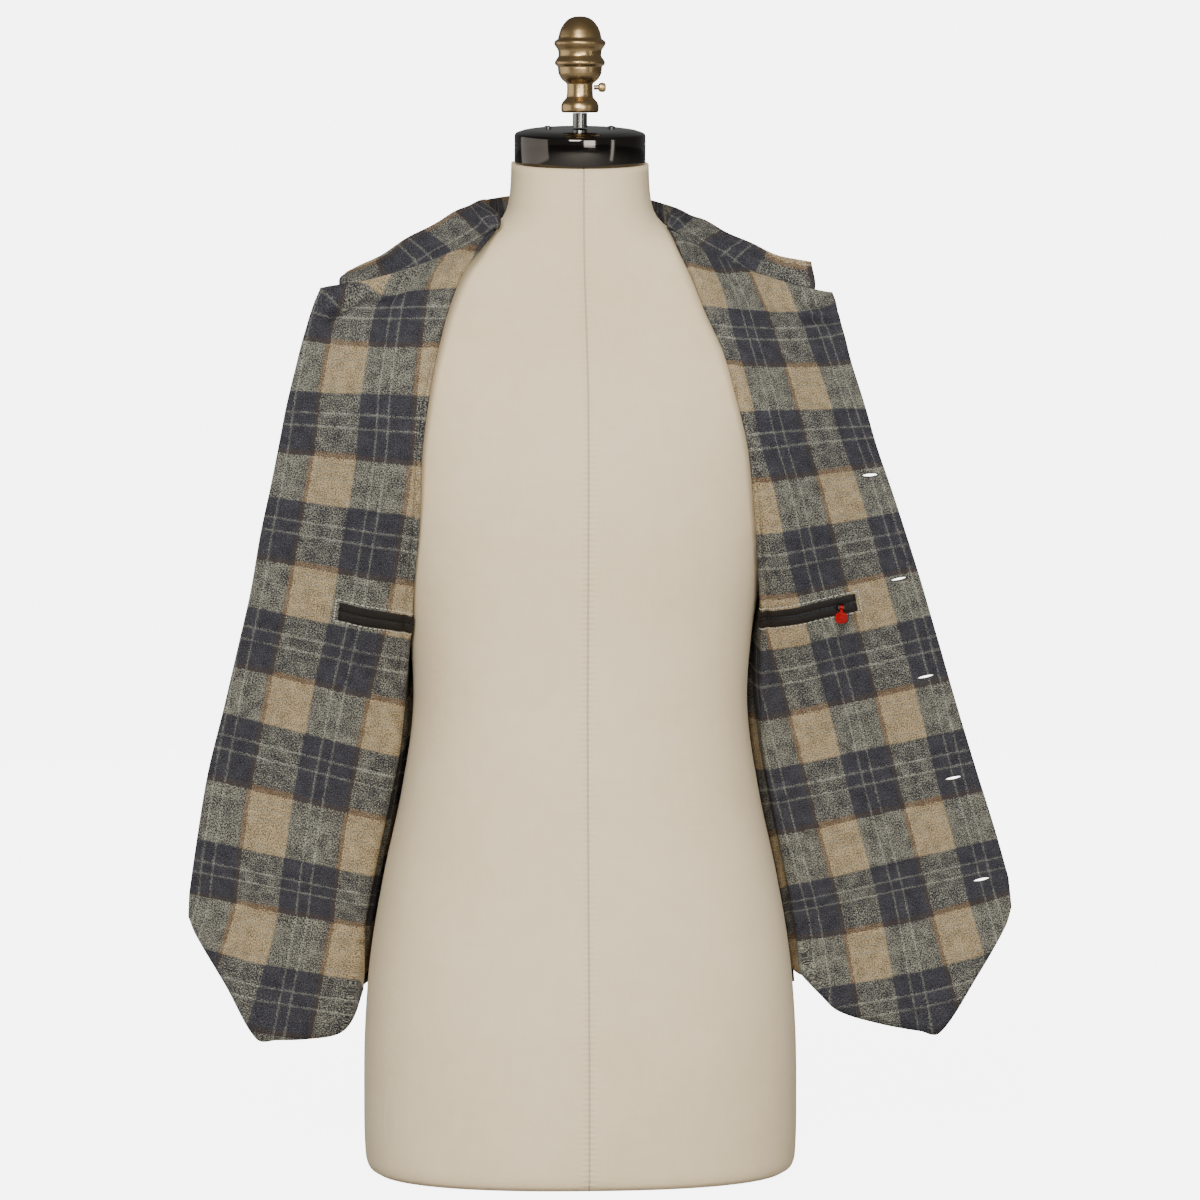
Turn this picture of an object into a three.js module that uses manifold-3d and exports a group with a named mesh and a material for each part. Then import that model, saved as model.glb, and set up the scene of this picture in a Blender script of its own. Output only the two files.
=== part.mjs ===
// A leather gilet with a wool inside, worn wide open on a limbless dress form.
// Millimetres, +Z up, the wearer faces -Y, and the origin is the middle of the form's flat base.
// "Left" and "right" are the wearer's: the left front lies on +X.

import * as THREE from "three";
import * as BufferGeometryUtils from "three/addons/utils/BufferGeometryUtils.js";
import Module from "manifold-3d";

const wasm = await Module();
wasm.setup();

// ---------- driving sizes ----------

const CLOTH = 2.0; // leather bonded to wool flannel
const SEAM_GAP = 0.3; // between sewn pieces
const LAID_GAP = 0.6; // under what lies on a panel
const FORM_EASE = 4.0; // middle of the cloth to the form
const SHOULDER_EASE = 9.0; // more of it, level, where the shoulders slope gently
const GENTLE_SLOPE = { from: 712, full: 738, fading: 762, to: 780 }; // heights of that slope
const FORM_POWER = 2.4; // superellipse power of the form's sections

// Powers that crowd a sheet's samples where it bends most.
const CROWD_AT_FOLD = 1.4;
const CROWD_AT_SHOULDERS = 1.35;
const CROWD_AT_HEM = 1.2;

const SHOULDER_TIP_Z = 743;
const NECK_POINT_Z = 774;
const UNDERARM_Z = 540;
const BACK_NECK_Z = 786;
const BACK_HEM_Z = 150;
const SIDE_SEAM_ANGLE = 6; // degrees behind the form's widest line
const FRONT_ARMHOLE_BITE = 38; // degrees the armhole cuts into the front
const BACK_ARMHOLE_BITE = 36;

const FORM_HEIGHT = 826;
const CAP_LEAN = THREE.MathUtils.degToRad(5); // the neck's top slopes forward
const CAP_RADIUS = 53.5;
const CAP_HEIGHT = 25;
const CAP_CROWN = 3; // how far the middle of its top rises above its rim
const CAP_SCREW_X = 26;
const CAP_SCREW_Y = 9;
const ROD_RADIUS = 6;
const ROD_ABOVE_CAP = 1.2; // clears the leaning cap
const FINIAL_BASE_Z = 867.4;
const THUMB_SCREW_X = 11.3; // where its shank leaves the finial's neck
const THUMB_SCREW_RISE = 20.5; // above the finial's base

const BUTTON_DIAMETER = 18;
const BUTTON_THICKNESS = 3.6;
const BUTTONHOLE_LENGTH = 16;
const BUTTONHOLE_WIDTH = 3.4;
const POCKET_LENGTH = 115;
const POCKET_HEIGHT = 15.2; // both welts and the space between them
const WELT_THICKNESS = 1.1;
const ZIPPED_SPACE = 2.8; // between the welts
const PLAIN_SPACE = 0.6;
const ZIP_WIDTH = 2.0;
const PIN_RADIUS = 0.8; // the slider's pin that the pull hangs on
const PIN_STANDS_OFF = 2.6; // from the top of the slider
const SLIDER_THICKNESS = 2.2;
const SLIDER_INSET = 13; // from the pocket's outer end
const LUG_WIDTH = 1.2;
const LUG_PLACE = 2.1; // middle of each lug, to each side
const EYE_WIDTH = 2.4;
const PULL_WIDTH = 10;
const PULL_LENGTH = 13;
const PULL_THICKNESS = 1.8;

// ---------- short tables ----------

function table(columns, rows) {
  return rows.map((row) => Object.fromEntries(columns.map((name, i) => [name, row[i]])));
}

// The dress form: half width, and depth to the front and to the rear, at each height.
const FORM_SECTIONS = table(
  ["z", "halfWidth", "front", "rear"],
  [
    [0, 168, 121, 124],
    [4, 174, 127, 130],
    [14, 177, 130, 133],
    [60, 178, 131, 135],
    [120, 177, 128, 136],
    [180, 172, 123, 132],
    [245, 161, 116, 121],
    [310, 147, 110, 108],
    [380, 137, 107, 99],
    [440, 140, 110, 100],
    [500, 150, 116, 107],
    [560, 161, 120, 115],
    [610, 168, 119, 119],
    [650, 173, 112, 117],
    [690, 181, 93, 107],
    [715, 182, 79, 97],
    [728, 177, 72, 90],
    [740, 163, 66, 84],
    [750, 138, 62, 79],
    [760, 108, 59, 73],
    [770, 80, 57.5, 66],
    [778, 67, 57, 61],
    [788, 60, 56.5, 58],
    [804, 57, 56, 56.5],
    [FORM_HEIGHT, 56, 56, 56],
  ],
);

// Cross sections of each front, from the shoulder to just above the hem. A section starts at the
// armhole or side seam at height innerZ, turns outward at the fold, and ends at the front edge.
// roll is how broadly it turns.
const POCKET_V = 0.6; // the section that the pockets lie on
const FRONT_COLUMNS = ["innerZ", "foldX", "foldY", "foldZ", "edgeX", "edgeY", "edgeZ", "roll"];

const LEFT_FRONT_SECTIONS = table(FRONT_COLUMNS, [
  [743, 70, -36, 774, 201, -63, 722, 104],
  [735, 76.5, -60, 757, 206, -69, 703, 76],
  [720, 86, -77, 735, 211, -72, 685, 56],
  [698, 96, -89, 708, 215, -74, 667, 54],
  [668, 110, -99, 676, 221, -73, 647, 50],
  [636, 120, -103, 640, 228, -72, 624, 54],
  [602, 130, -98, 600, 236, -70, 598, 56],
  [570, 135.5, -87, 556, 249, -66, 562, 56],
  [540, 141, -66, 506, 262.5, -61, 523, 54],
  [470, 145.5, -42, 456, 276, -54, 483, 52],
  [410, 147, -20, 405, 290, -46, 438, 46],
  [350, 150, -8, 350, 306, -38, 385, 40],
  [292, 160, -2, 295, 323.5, -30, 330, 36],
  [236, 171, 2, 240, 340, -24, 280, 34],
  [200, 178, 4, 203, 352, -20, 240, 34],
]);

const RIGHT_FRONT_SECTIONS = table(FRONT_COLUMNS, [
  [743, 70, -36, 774, 213, -62, 726, 104],
  [735, 82, -60, 760, 220.5, -68, 707, 76],
  [720, 98, -76, 740, 225.5, -71, 690, 56],
  [698, 110, -89, 713, 230.5, -74, 672, 54],
  [668, 119.5, -99, 680, 235.5, -73, 652, 50],
  [636, 127, -103, 643, 241, -72, 629, 54],
  [602, 132.5, -98, 600, 246, -70, 603, 56],
  [570, 134, -87, 554, 253, -66, 568, 56],
  [540, 136, -66, 506, 262, -61, 527, 54],
  [470, 140, -42, 453, 270, -54, 480, 52],
  [410, 144, -20, 402, 280, -46, 434, 46],
  [350, 149, -8, 346, 291.5, -38, 384, 40],
  [292, 160, -2, 292, 305, -30, 330, 36],
  [236, 171, 2, 238, 315, -24, 272, 34],
  [200, 178, 4, 201, 321, -20, 232, 34],
]);

// The pointed hem of each front, from the side seam (along = 0) to the corner of the front edge.
const HEM_COLUMNS = ["along", "x", "z"];

const LEFT_FRONT_HEM = table(HEM_COLUMNS, [
  [0, 183, 158],
  [0.12, 198, 142],
  [0.24, 213, 128],
  [0.42, 246, 118],
  [0.58, 280, 112],
  [0.66, 297, 111],
  [0.82, 327, 158],
  [0.95, 350, 200],
  [1, 354.5, 216],
]);

const RIGHT_FRONT_HEM = table(HEM_COLUMNS, [
  [0, 178, 150],
  [0.12, 187, 125],
  [0.24, 199, 113],
  [0.42, 225, 109.5],
  [0.58, 250, 109.5],
  [0.66, 267, 111],
  [0.82, 292, 156],
  [0.95, 316, 198],
  [1, 322, 213],
]);

// The collar's free edge from its tip on each front to the middle of the back.
// along runs from the notch (0) over the neck point to the middle of the back neck (1).
const COLLAR_COLUMNS = ["along", "x", "y", "z"];

const LEFT_COLLAR_EDGE = table(COLLAR_COLUMNS, [
  [0, 184.5, -55, 746.5],
  [0.08, 160.5, -49, 751],
  [0.18, 135, -42, 761.5],
  [0.3, 106, -32, 776],
  [0.44, 84, -10, 786.5],
  [0.58, 74, 22, 792],
  [0.76, 56, 58, 797],
  [0.88, 30, 78, 800.5],
  [1, 0, 84, 802],
]);

const RIGHT_COLLAR_EDGE = table(COLLAR_COLUMNS, [
  [0, 191, -40, 738],
  [0.08, 167, -38, 750],
  [0.18, 140, -34, 766],
  [0.3, 109, -26, 783],
  [0.44, 85, -8, 794.5],
  [0.58, 74, 22, 797],
  [0.76, 56, 58, 799],
  [0.88, 30, 78, 801.5],
  [1, 0, 84, 802],
]);

const BUTTONHOLES = table(["z", "inset"], [
  [575, 14],
  [493, 17],
  [412, 18],
  [327, 20],
  [243, 22],
]);

const BUTTONS = table(["z", "inset"], [
  [576, 15],
  [492, 17],
  [409, 18],
  [323, 20],
  [238, 22],
]);

// The pockets lie along a section (v) and end short of the front edge.
const POCKETS = table(["front", "inset", "space"], [
  ["left", 56, ZIPPED_SPACE],
  ["right", 73, PLAIN_SPACE],
]);

// ---------- curves ----------

// A smooth curve through one named column of a table, against another.
function smoothColumn(rows, key, column) {
  const slope = (i) => {
    const before = rows[Math.max(i - 1, 0)];
    const after = rows[Math.min(i + 1, rows.length - 1)];
    return (after[column] - before[column]) / (after[key] - before[key]);
  };
  return (at) => {
    const clamped = THREE.MathUtils.clamp(at, rows[0][key], rows[rows.length - 1][key]);
    let i = rows.findIndex((row) => row[key] >= clamped) - 1;
    i = Math.max(i, 0);
    const step = rows[i + 1][key] - rows[i][key];
    const s = (clamped - rows[i][key]) / step;
    return hermite(rows[i][column], rows[i + 1][column], slope(i) * step, slope(i + 1) * step, s);
  };
}

function hermite(start, end, startSlope, endSlope, s) {
  const s2 = s * s;
  const s3 = s2 * s;
  return (
    start * (2 * s3 - 3 * s2 + 1) +
    startSlope * (s3 - 2 * s2 + s) +
    end * (3 * s2 - 2 * s3) +
    endSlope * (s3 - s2)
  );
}

function hermitePoint(start, end, startSlope, endSlope, s) {
  return new THREE.Vector3(
    hermite(start.x, end.x, startSlope.x, endSlope.x, s),
    hermite(start.y, end.y, startSlope.y, endSlope.y, s),
    hermite(start.z, end.z, startSlope.z, endSlope.z, s),
  );
}

// ---------- the form's surface ----------

const formHalfWidth = smoothColumn(FORM_SECTIONS, "z", "halfWidth");
const formFront = smoothColumn(FORM_SECTIONS, "z", "front");
const formRear = smoothColumn(FORM_SECTIONS, "z", "rear");

// The level distances, across and through the form, that keep the middle of the cloth off it.
function easeOver(z, more) {
  const rise = THREE.MathUtils.smoothstep(z, GENTLE_SLOPE.from, GENTLE_SLOPE.full);
  const fall = THREE.MathUtils.smoothstep(z, GENTLE_SLOPE.fading, GENTLE_SLOPE.to);
  return FORM_EASE + more * rise * (1 - fall);
}

function easeAcross(z) {
  return easeOver(z, SHOULDER_EASE);
}

function easeThrough(z) {
  return easeOver(z, SHOULDER_EASE / 3);
}

function signedPower(value, power) {
  return Math.sign(value) * Math.abs(value) ** power;
}

// A point on or off the form's surface: angle 0 is the widest line on +X, 90 degrees the rear,
// -90 degrees the front. The eases stand it off across (X) and through (Y) the form.
function aroundForm(degrees, z, across = easeAcross(z), through = easeThrough(z)) {
  const angle = THREE.MathUtils.degToRad(degrees);
  const depth = Math.sin(angle) < 0 ? formFront(z) : formRear(z);
  return new THREE.Vector3(
    (formHalfWidth(z) + across) * signedPower(Math.cos(angle), 2 / FORM_POWER),
    (depth + through) * signedPower(Math.sin(angle), 2 / FORM_POWER),
    z,
  );
}

// Moves a point of the cloth outward, level, until it clears the form.
function clearOfForm(point) {
  const depth = (point.y < 0 ? formFront(point.z) : formRear(point.z)) + easeThrough(point.z);
  const across = point.x / (formHalfWidth(point.z) + easeAcross(point.z));
  const through = point.y / depth;
  const reach =
    (Math.abs(across) ** FORM_POWER + Math.abs(through) ** FORM_POWER) ** (1 / FORM_POWER);
  if (reach >= 1 || reach === 0) return point;
  return new THREE.Vector3(point.x / reach, point.y / reach, point.z);
}

// ---------- solids ----------

// A closed mesh from loose triangles, turned so that its faces point out.
function closedGeometry(points, triangles) {
  let volume = 0;
  const cross = new THREE.Vector3();
  for (const [a, b, c] of triangles) {
    volume += points[a].dot(cross.crossVectors(points[b], points[c]));
  }
  const outward = volume > 0 ? triangles : triangles.map(([a, b, c]) => [a, c, b]);
  const geometry = new THREE.BufferGeometry();
  geometry.setFromPoints(points);
  geometry.setIndex(outward.flat());
  geometry.computeVertexNormals();
  return geometry;
}

// The closed wall between two offsets of a sheet, sampled at the given u and v values.
function wallOf(sheet, us, vs, from, to) {
  const points = [];
  const triangles = [];
  for (const offset of [from, to]) {
    for (const v of vs) {
      for (const u of us) {
        points.push(sheet.point(u, v).addScaledVector(sheet.normal(u, v), offset));
      }
    }
  }
  const width = us.length;
  const layer = width * vs.length;
  const index = (row, column, side) => side * layer + row * width + column;
  const quad = (a, b, c, d) => triangles.push([a, b, c], [a, c, d]);
  for (let row = 0; row < vs.length - 1; row += 1) {
    for (let column = 0; column < width - 1; column += 1) {
      const corners = [
        [row, column],
        [row, column + 1],
        [row + 1, column + 1],
        [row + 1, column],
      ];
      quad(...corners.map(([r, c]) => index(r, c, 1)));
      quad(...corners.reverse().map(([r, c]) => index(r, c, 0)));
    }
  }
  const border = [];
  for (let column = 0; column < width - 1; column += 1) border.push([0, column]);
  for (let row = 0; row < vs.length - 1; row += 1) border.push([row, width - 1]);
  for (let column = width - 1; column > 0; column -= 1) border.push([vs.length - 1, column]);
  for (let row = vs.length - 1; row > 0; row -= 1) border.push([row, 0]);
  border.forEach(([r, c], i) => {
    const [nextRow, nextColumn] = border[(i + 1) % border.length];
    quad(
      index(r, c, 0),
      index(nextRow, nextColumn, 0),
      index(nextRow, nextColumn, 1),
      index(r, c, 1),
    );
  });
  return closedGeometry(points, triangles);
}

function evenly(from, to, count) {
  return Array.from({ length: count + 1 }, (_, i) => THREE.MathUtils.lerp(from, to, i / count));
}

function toManifold(geometry) {
  const bare = geometry.clone();
  bare.deleteAttribute("normal");
  bare.deleteAttribute("uv");
  const merged = BufferGeometryUtils.mergeVertices(bare, 1e-4);
  return new wasm.Manifold(
    new wasm.Mesh({
      numProp: 3,
      vertProperties: Float32Array.from(merged.attributes.position.array),
      triVerts: Uint32Array.from(merged.index.array),
    }),
  );
}

function fromManifold(solid) {
  const mesh = solid.getMesh();
  const geometry = new THREE.BufferGeometry();
  geometry.setAttribute("position", new THREE.BufferAttribute(mesh.vertProperties, 3));
  geometry.setIndex(new THREE.BufferAttribute(mesh.triVerts, 1));
  geometry.computeVertexNormals();
  return geometry;
}

function cutAway(geometry, cutters) {
  let solid = toManifold(geometry);
  for (const cutter of cutters) solid = solid.subtract(toManifold(cutter));
  return fromManifold(solid);
}

// A round turning about +Z, from [radius, height] pairs that start and end on the axis.
function turned(profile, segments) {
  const lathe = new THREE.LatheGeometry(
    profile.map(([radius, height]) => new THREE.Vector2(radius, height)),
    segments,
  );
  return lathe.rotateX(Math.PI / 2);
}

// ---------- the cloth's sheets ----------
// A sheet gives a point in the middle of the cloth and the normal of its wool side.

function withNormals(point, side) {
  const step = 1e-3;
  const normal = (u, v) => {
    const acrossFrom = point(Math.max(u - step, 0), v);
    const across = point(Math.min(u + step, 1), v).sub(acrossFrom);
    const downFrom = point(u, Math.max(v - step, 0));
    const down = point(u, Math.min(v + step, 1)).sub(downFrom);
    return down.cross(across).normalize().multiplyScalar(side);
  };
  return { point, normal };
}

function armholeAngle(z, bite) {
  const fall = THREE.MathUtils.clamp(
    (SHOULDER_TIP_Z - z) / (SHOULDER_TIP_Z - UNDERARM_Z),
    0,
    1,
  );
  return SIDE_SEAM_ANGLE * fall + bite * Math.sin(Math.PI * fall) ** 0.8;
}

// Height of the shoulder seam from its tip (0) to the neck point (1).
function shoulderPoint(s) {
  const z = THREE.MathUtils.lerp(SHOULDER_TIP_Z, NECK_POINT_Z, s);
  return aroundForm(0, z);
}

const FOLD_U = 0.32; // share of a section that lies under its fold
const SHOULDER_U = 0.25; // share of the top section that is shoulder seam
const TOWARD_VIEWER = new THREE.Vector3(0, -1, 0);

// How far the flap's part of a section sags below its chord, under the gorge seam.
const GORGE_SAG = 9;
const SAGGING_SECTIONS = 5;

function sagAt(u, i) {
  const along = Math.max(0, (u - FOLD_U) / (1 - FOLD_U));
  const share = Math.max(0, 1 - i / SAGGING_SECTIONS);
  return GORGE_SAG * share * Math.sin(Math.PI * along ** 1.75);
}

// One cross section of a front, by u from its inner edge (0) to the front edge (1).
function frontSection(row, i) {
  const angle = armholeAngle(row.innerZ, -FRONT_ARMHOLE_BITE);
  const inner = aroundForm(angle, row.innerZ);
  const ahead = aroundForm(angle - 1, row.innerZ);
  const fold = new THREE.Vector3(row.foldX, row.foldY, row.foldZ);
  const edge = new THREE.Vector3(row.edgeX, row.edgeY, row.edgeZ);
  const turn = TOWARD_VIEWER.clone().multiplyScalar(row.roll);
  const under = ahead.sub(inner).setLength(fold.distanceTo(inner));
  const over = edge.clone().sub(fold);
  return (u) => {
    if (u < FOLD_U) {
      const s = 1 - (1 - u / FOLD_U) ** CROWD_AT_FOLD;
      return hermitePoint(inner, fold, under, turn, s);
    }
    const s = ((u - FOLD_U) / (1 - FOLD_U)) ** CROWD_AT_FOLD;
    const flap = hermitePoint(fold, edge, turn, over, s);
    flap.z -= sagAt(u, i);
    return flap;
  };
}

// The top section runs along the shoulder seam, round to the fold and along the gorge seam.
function topSection(row) {
  const flap = frontSection(row, 0);
  return (u) => {
    if (u > FOLD_U) return flap(u);
    if (u < SHOULDER_U) return shoulderPoint(u / SHOULDER_U);
    const s = (u - SHOULDER_U) / (FOLD_U - SHOULDER_U);
    return shoulderPoint(1).lerp(flap(FOLD_U), s);
  };
}

const SIDE_SEAM_RISE = 5; // of the hem, from the fold to the side seam

// The hem, under the last section of the table.
function hemSection(row, hem) {
  const x = smoothColumn(hem, "along", "x");
  const z = smoothColumn(hem, "along", "z");
  const last = frontSection(row, SAGGING_SECTIONS);
  const seamZ = hem[0].z + SIDE_SEAM_RISE;
  const seam = aroundForm(SIDE_SEAM_ANGLE, seamZ);
  return (u) => {
    if (u < FOLD_U) {
      const s = u / FOLD_U;
      const y = THREE.MathUtils.lerp(seam.y, last(FOLD_U).y, s);
      const outward = s * s * (x(0) - seam.x);
      return new THREE.Vector3(seam.x + outward, y, THREE.MathUtils.lerp(seam.z, z(0), s));
    }
    const along = ((u - FOLD_U) / (1 - FOLD_U)) ** CROWD_AT_HEM;
    return new THREE.Vector3(x(along), last(u).y, z(along));
  };
}

function frontSheet(sections, hem, side) {
  const last = sections.length - 1;
  const numbered = sections.map((row, i) => ({ ...row, i }));
  const columns = FRONT_COLUMNS.map((name) => [name, smoothColumn(numbered, "i", name)]);
  const rowAt = (i) => Object.fromEntries(columns.map(([name, at]) => [name, at(i)]));
  const sectionAt = (i) => frontSection(rowAt(i), i);
  const top = topSection(sections[0]);
  const bottom = sectionAt(last);
  const hemline = hemSection(sections[last], hem);
  const point = (u, v) => {
    const i = v * (last + 1);
    let cloth = i > last ? bottom(u).lerp(hemline(u), i - last) : sectionAt(i)(u);
    if (i < 1) cloth = top(u).lerp(cloth, THREE.MathUtils.smoothstep(i, 0, 1));
    cloth = clearOfForm(cloth);
    return new THREE.Vector3(side * cloth.x, cloth.y - SEAM_GAP / 2, cloth.z);
  };
  return withNormals(point, side);
}

const SMALL_OF_BACK = 16; // further off the form, where the back falls past its waist
const BACK_NECK_SHARE = 0.42; // share of the back's top edge that is neckline

// The back, by u from the right side seam (0) to the left one (1) and v from the top down.
function backSheet() {
  const point = (u, v) => {
    const across = 2 * u - 1;
    const reach = Math.abs(across);
    const onShoulder = Math.max(0, (reach - BACK_NECK_SHARE) / (1 - BACK_NECK_SHARE));
    const onNeck = Math.min(1, reach / BACK_NECK_SHARE);
    const neckZ = THREE.MathUtils.lerp(BACK_NECK_Z, NECK_POINT_Z, onNeck ** 2);
    const topZ = THREE.MathUtils.lerp(neckZ, SHOULDER_TIP_Z, onShoulder);
    const down = v ** CROWD_AT_SHOULDERS;
    const z = THREE.MathUtils.lerp(topZ, BACK_HEM_Z, down);
    const fallen = down * (SHOULDER_TIP_Z - BACK_HEM_Z);
    const upper = THREE.MathUtils.clamp(fallen / (SHOULDER_TIP_Z - UNDERARM_Z), 0, 1);
    const edgeAngle = armholeAngle(
      THREE.MathUtils.lerp(SHOULDER_TIP_Z, UNDERARM_Z, upper),
      BACK_ARMHOLE_BITE,
    );
    const spread = THREE.MathUtils.lerp(onNeck, reach, THREE.MathUtils.smoothstep(upper, 0, 0.7));
    const angle = 90 - (90 - edgeAngle) * spread;
    const hollow = THREE.MathUtils.smoothstep(z, 200, 400) - THREE.MathUtils.smoothstep(z, 400, 600);
    const rearward = Math.sin(THREE.MathUtils.degToRad(angle)) ** 2;
    const ease = easeThrough(z) + SMALL_OF_BACK * hollow * rearward;
    const onCloth = aroundForm(angle, z, easeAcross(z), ease);
    return new THREE.Vector3(
      Math.sign(across) * onCloth.x,
      onCloth.y + SEAM_GAP / 2,
      onCloth.z,
    );
  };
  return withNormals(point, -1);
}

const FLAP_STEPS = 14; // samples of a section from its fold to its front edge
const NOTCH_U = THREE.MathUtils.lerp(1, FOLD_U, 1 / FLAP_STEPS);
const COLLAR_ON_FRONT = 0.56; // share of a half collar that is sewn to the front
const COLLAR_STANDS = 1.8; // off the back's neckline
const NECK_REACH_U = 0.1; // past the fold, how far the collar still leaves its seam upward
const STANDING_REACH_U = 0.32; // past the fold, how far it stands off its seam
const STRAIGHT_UP = new THREE.Vector3(0, 0, 1);

// The collar, by u from its left tip (0) round the back neck to its right tip (1), and v from
// the seam to the free edge.
function collarSheet() {
  const halves = [
    { front: leftFront, notch: NOTCH_U, edge: LEFT_COLLAR_EDGE, side: 1 },
    { front: rightFront, notch: NOTCH_U, edge: RIGHT_COLLAR_EDGE, side: -1 },
  ].map((half) => {
    const columns = ["x", "y", "z"].map((name) => smoothColumn(half.edge, "along", name));
    return { ...half, columns };
  });
  // The seam and the direction in which the collar leaves it.
  const seamAt = (half, along) => {
    if (along < COLLAR_ON_FRONT) {
      const u = THREE.MathUtils.lerp(half.notch, SHOULDER_U, along / COLLAR_ON_FRONT);
      const nearNeck = 1 - THREE.MathUtils.smoothstep(u, SHOULDER_U, FOLD_U + NECK_REACH_U);
      const seam = half.front.point(u, 0);
      const seamBehind = half.front.point(u - 0.004, 0);
      const alongSeam = half.front.point(u + 0.004, 0).sub(seamBehind).normalize();
      const up = seam.clone().sub(half.front.point(u, 0.01));
      up.addScaledVector(alongSeam, -up.dot(alongSeam)).normalize();
      up.lerp(STRAIGHT_UP, nearNeck).normalize();
      const standing = 1 - THREE.MathUtils.smoothstep(u, FOLD_U, FOLD_U + STANDING_REACH_U);
      const lift = THREE.MathUtils.lerp(SEAM_GAP, COLLAR_STANDS, standing);
      return { seam: seam.addScaledVector(up, lift), up };
    }
    const round = (along - COLLAR_ON_FRONT) / (1 - COLLAR_ON_FRONT);
    const across = half.side * BACK_NECK_SHARE * (1 - round);
    const seam = back.point(0.5 + across / 2, 0);
    return { seam: seam.addScaledVector(STRAIGHT_UP, COLLAR_STANDS), up: STRAIGHT_UP };
  };
  const point = (u, v) => {
    const half = u < 0.5 ? halves[0] : halves[1];
    const along = 1 - Math.abs(2 * u - 1);
    const [x, y, z] = half.columns.map((at) => at(along));
    const free = new THREE.Vector3(half.side * x, y, z);
    const { seam, up } = seamAt(half, along);
    const outward = free.clone().sub(seam);
    const start = up.clone().multiplyScalar(outward.length());
    return hermitePoint(seam, free, start, outward, v);
  };
  return withNormals(point, 1);
}

// The collar's samples match those of the front and the back along their seam.
function collarSamples() {
  const onFront = frontUs.filter((u) => u >= SHOULDER_U && u <= NOTCH_U + 1e-9).reverse();
  const alongs = onFront.map((u) => (COLLAR_ON_FRONT * (NOTCH_U - u)) / (NOTCH_U - SHOULDER_U));
  const rest = evenly(COLLAR_ON_FRONT, 1, 9).slice(alongs.at(-1) >= COLLAR_ON_FRONT - 1e-9 ? 1 : 0);
  return [...alongs, ...rest].map((along) => along / 2);
}

// ---------- the form ----------

function torsoGeometry() {
  const around = 36;
  const heights = [];
  for (let i = 0; i < FORM_SECTIONS.length - 1; i += 1) {
    const from = FORM_SECTIONS[i].z;
    const to = FORM_SECTIONS[i + 1].z;
    const steps = to - from > 30 ? 2 : 1;
    for (let step = 0; step < steps; step += 1) {
      heights.push(THREE.MathUtils.lerp(from, to, step / steps));
    }
  }
  heights.push(FORM_HEIGHT);
  const points = [];
  const triangles = [];
  for (const z of heights) {
    const lean = Math.tan(CAP_LEAN) * THREE.MathUtils.smoothstep(z, 775, FORM_HEIGHT);
    for (let i = 0; i < around; i += 1) {
      const point = aroundForm((360 * i) / around, z, 0, 0);
      point.z += point.y * lean;
      points.push(point);
    }
  }
  for (let ring = 0; ring < heights.length - 1; ring += 1) {
    for (let i = 0; i < around; i += 1) {
      const next = (i + 1) % around;
      const low = ring * around;
      const high = low + around;
      triangles.push([low + i, low + next, high + next], [low + i, high + next, high + i]);
    }
  }
  const bottom = points.push(new THREE.Vector3(0, 0, 0)) - 1;
  const top = points.push(new THREE.Vector3(0, 0, FORM_HEIGHT)) - 1;
  const lastRing = (heights.length - 1) * around;
  for (let i = 0; i < around; i += 1) {
    const next = (i + 1) % around;
    triangles.push([bottom, next, i], [top, lastRing + i, lastRing + next]);
  }
  return closedGeometry(points, triangles);
}

function capGeometry() {
  return turned(
    [
      [0, 0],
      [CAP_RADIUS - 1, 0],
      [CAP_RADIUS, 1],
      [CAP_RADIUS, CAP_HEIGHT - 2],
      [CAP_RADIUS - 0.7, CAP_HEIGHT - 0.6],
      [CAP_RADIUS - 2.2, CAP_HEIGHT],
      [CAP_RADIUS * 0.88, CAP_HEIGHT + CAP_CROWN * 0.46],
      [CAP_RADIUS * 0.77, CAP_HEIGHT + CAP_CROWN * 0.8],
      [CAP_RADIUS * 0.62, CAP_HEIGHT + CAP_CROWN],
      [0, CAP_HEIGHT + CAP_CROWN],
    ],
    40,
  );
}

function capScrewGeometry() {
  return turned([[0, 0], [3.2, 0], [3.2, 0.7], [2.2, 1.5], [0, 1.7]], 10);
}

function rodGeometry(length) {
  return turned([[0, 0], [ROD_RADIUS, 0], [ROD_RADIUS, length], [0, length]], 20);
}

function finialGeometry() {
  return turned(
    [
      [0, 0],
      [14.2, 0],
      [15.2, 1.2],
      [15.3, 5.5],
      [14.4, 8.4],
      [12.2, 11],
      [10.8, 13.6],
      [10.6, 22.4],
      [11.4, 24],
      [14.8, 27],
      [17.2, 31],
      [18, 35],
      [18.2, 37.2],
      [20.1, 39],
      [20.5, 41],
      [19.2, 43.4],
      [17.6, 46.2],
      [17.9, 50.5],
      [19.8, 53.6],
      [21, 56],
      [20.4, 58.2],
      [18.1, 60],
      [17.2, 63.2],
      [15.9, 67.5],
      [13.6, 71.6],
      [9.9, 75.6],
      [5.2, 77.8],
      [0, 78.4],
    ],
    20,
  );
}

// The thumb screw's shank and flat round head, along +X from the finial's neck.
function thumbScrewGeometry() {
  const shank = turned([[0, 0], [2, 0], [2, 4], [0, 4]], 12);
  const head = turned([[0, 3.6], [2.8, 3.6], [3.8, 5], [3.8, 8.6], [2.8, 10], [0, 10]], 16);
  head.scale(1, 0.5, 1);
  return joined([shank, head]).rotateY(Math.PI / 2);
}

// ---------- trims ----------

// Where a front's section crosses a height near its edge, found by halving.
function edgeAt(sheet, z) {
  let low = 0;
  let high = 1;
  for (let i = 0; i < 24; i += 1) {
    const middle = (low + high) / 2;
    if (sheet.point(1, middle).z > z) low = middle;
    else high = middle;
  }
  return low;
}

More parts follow.
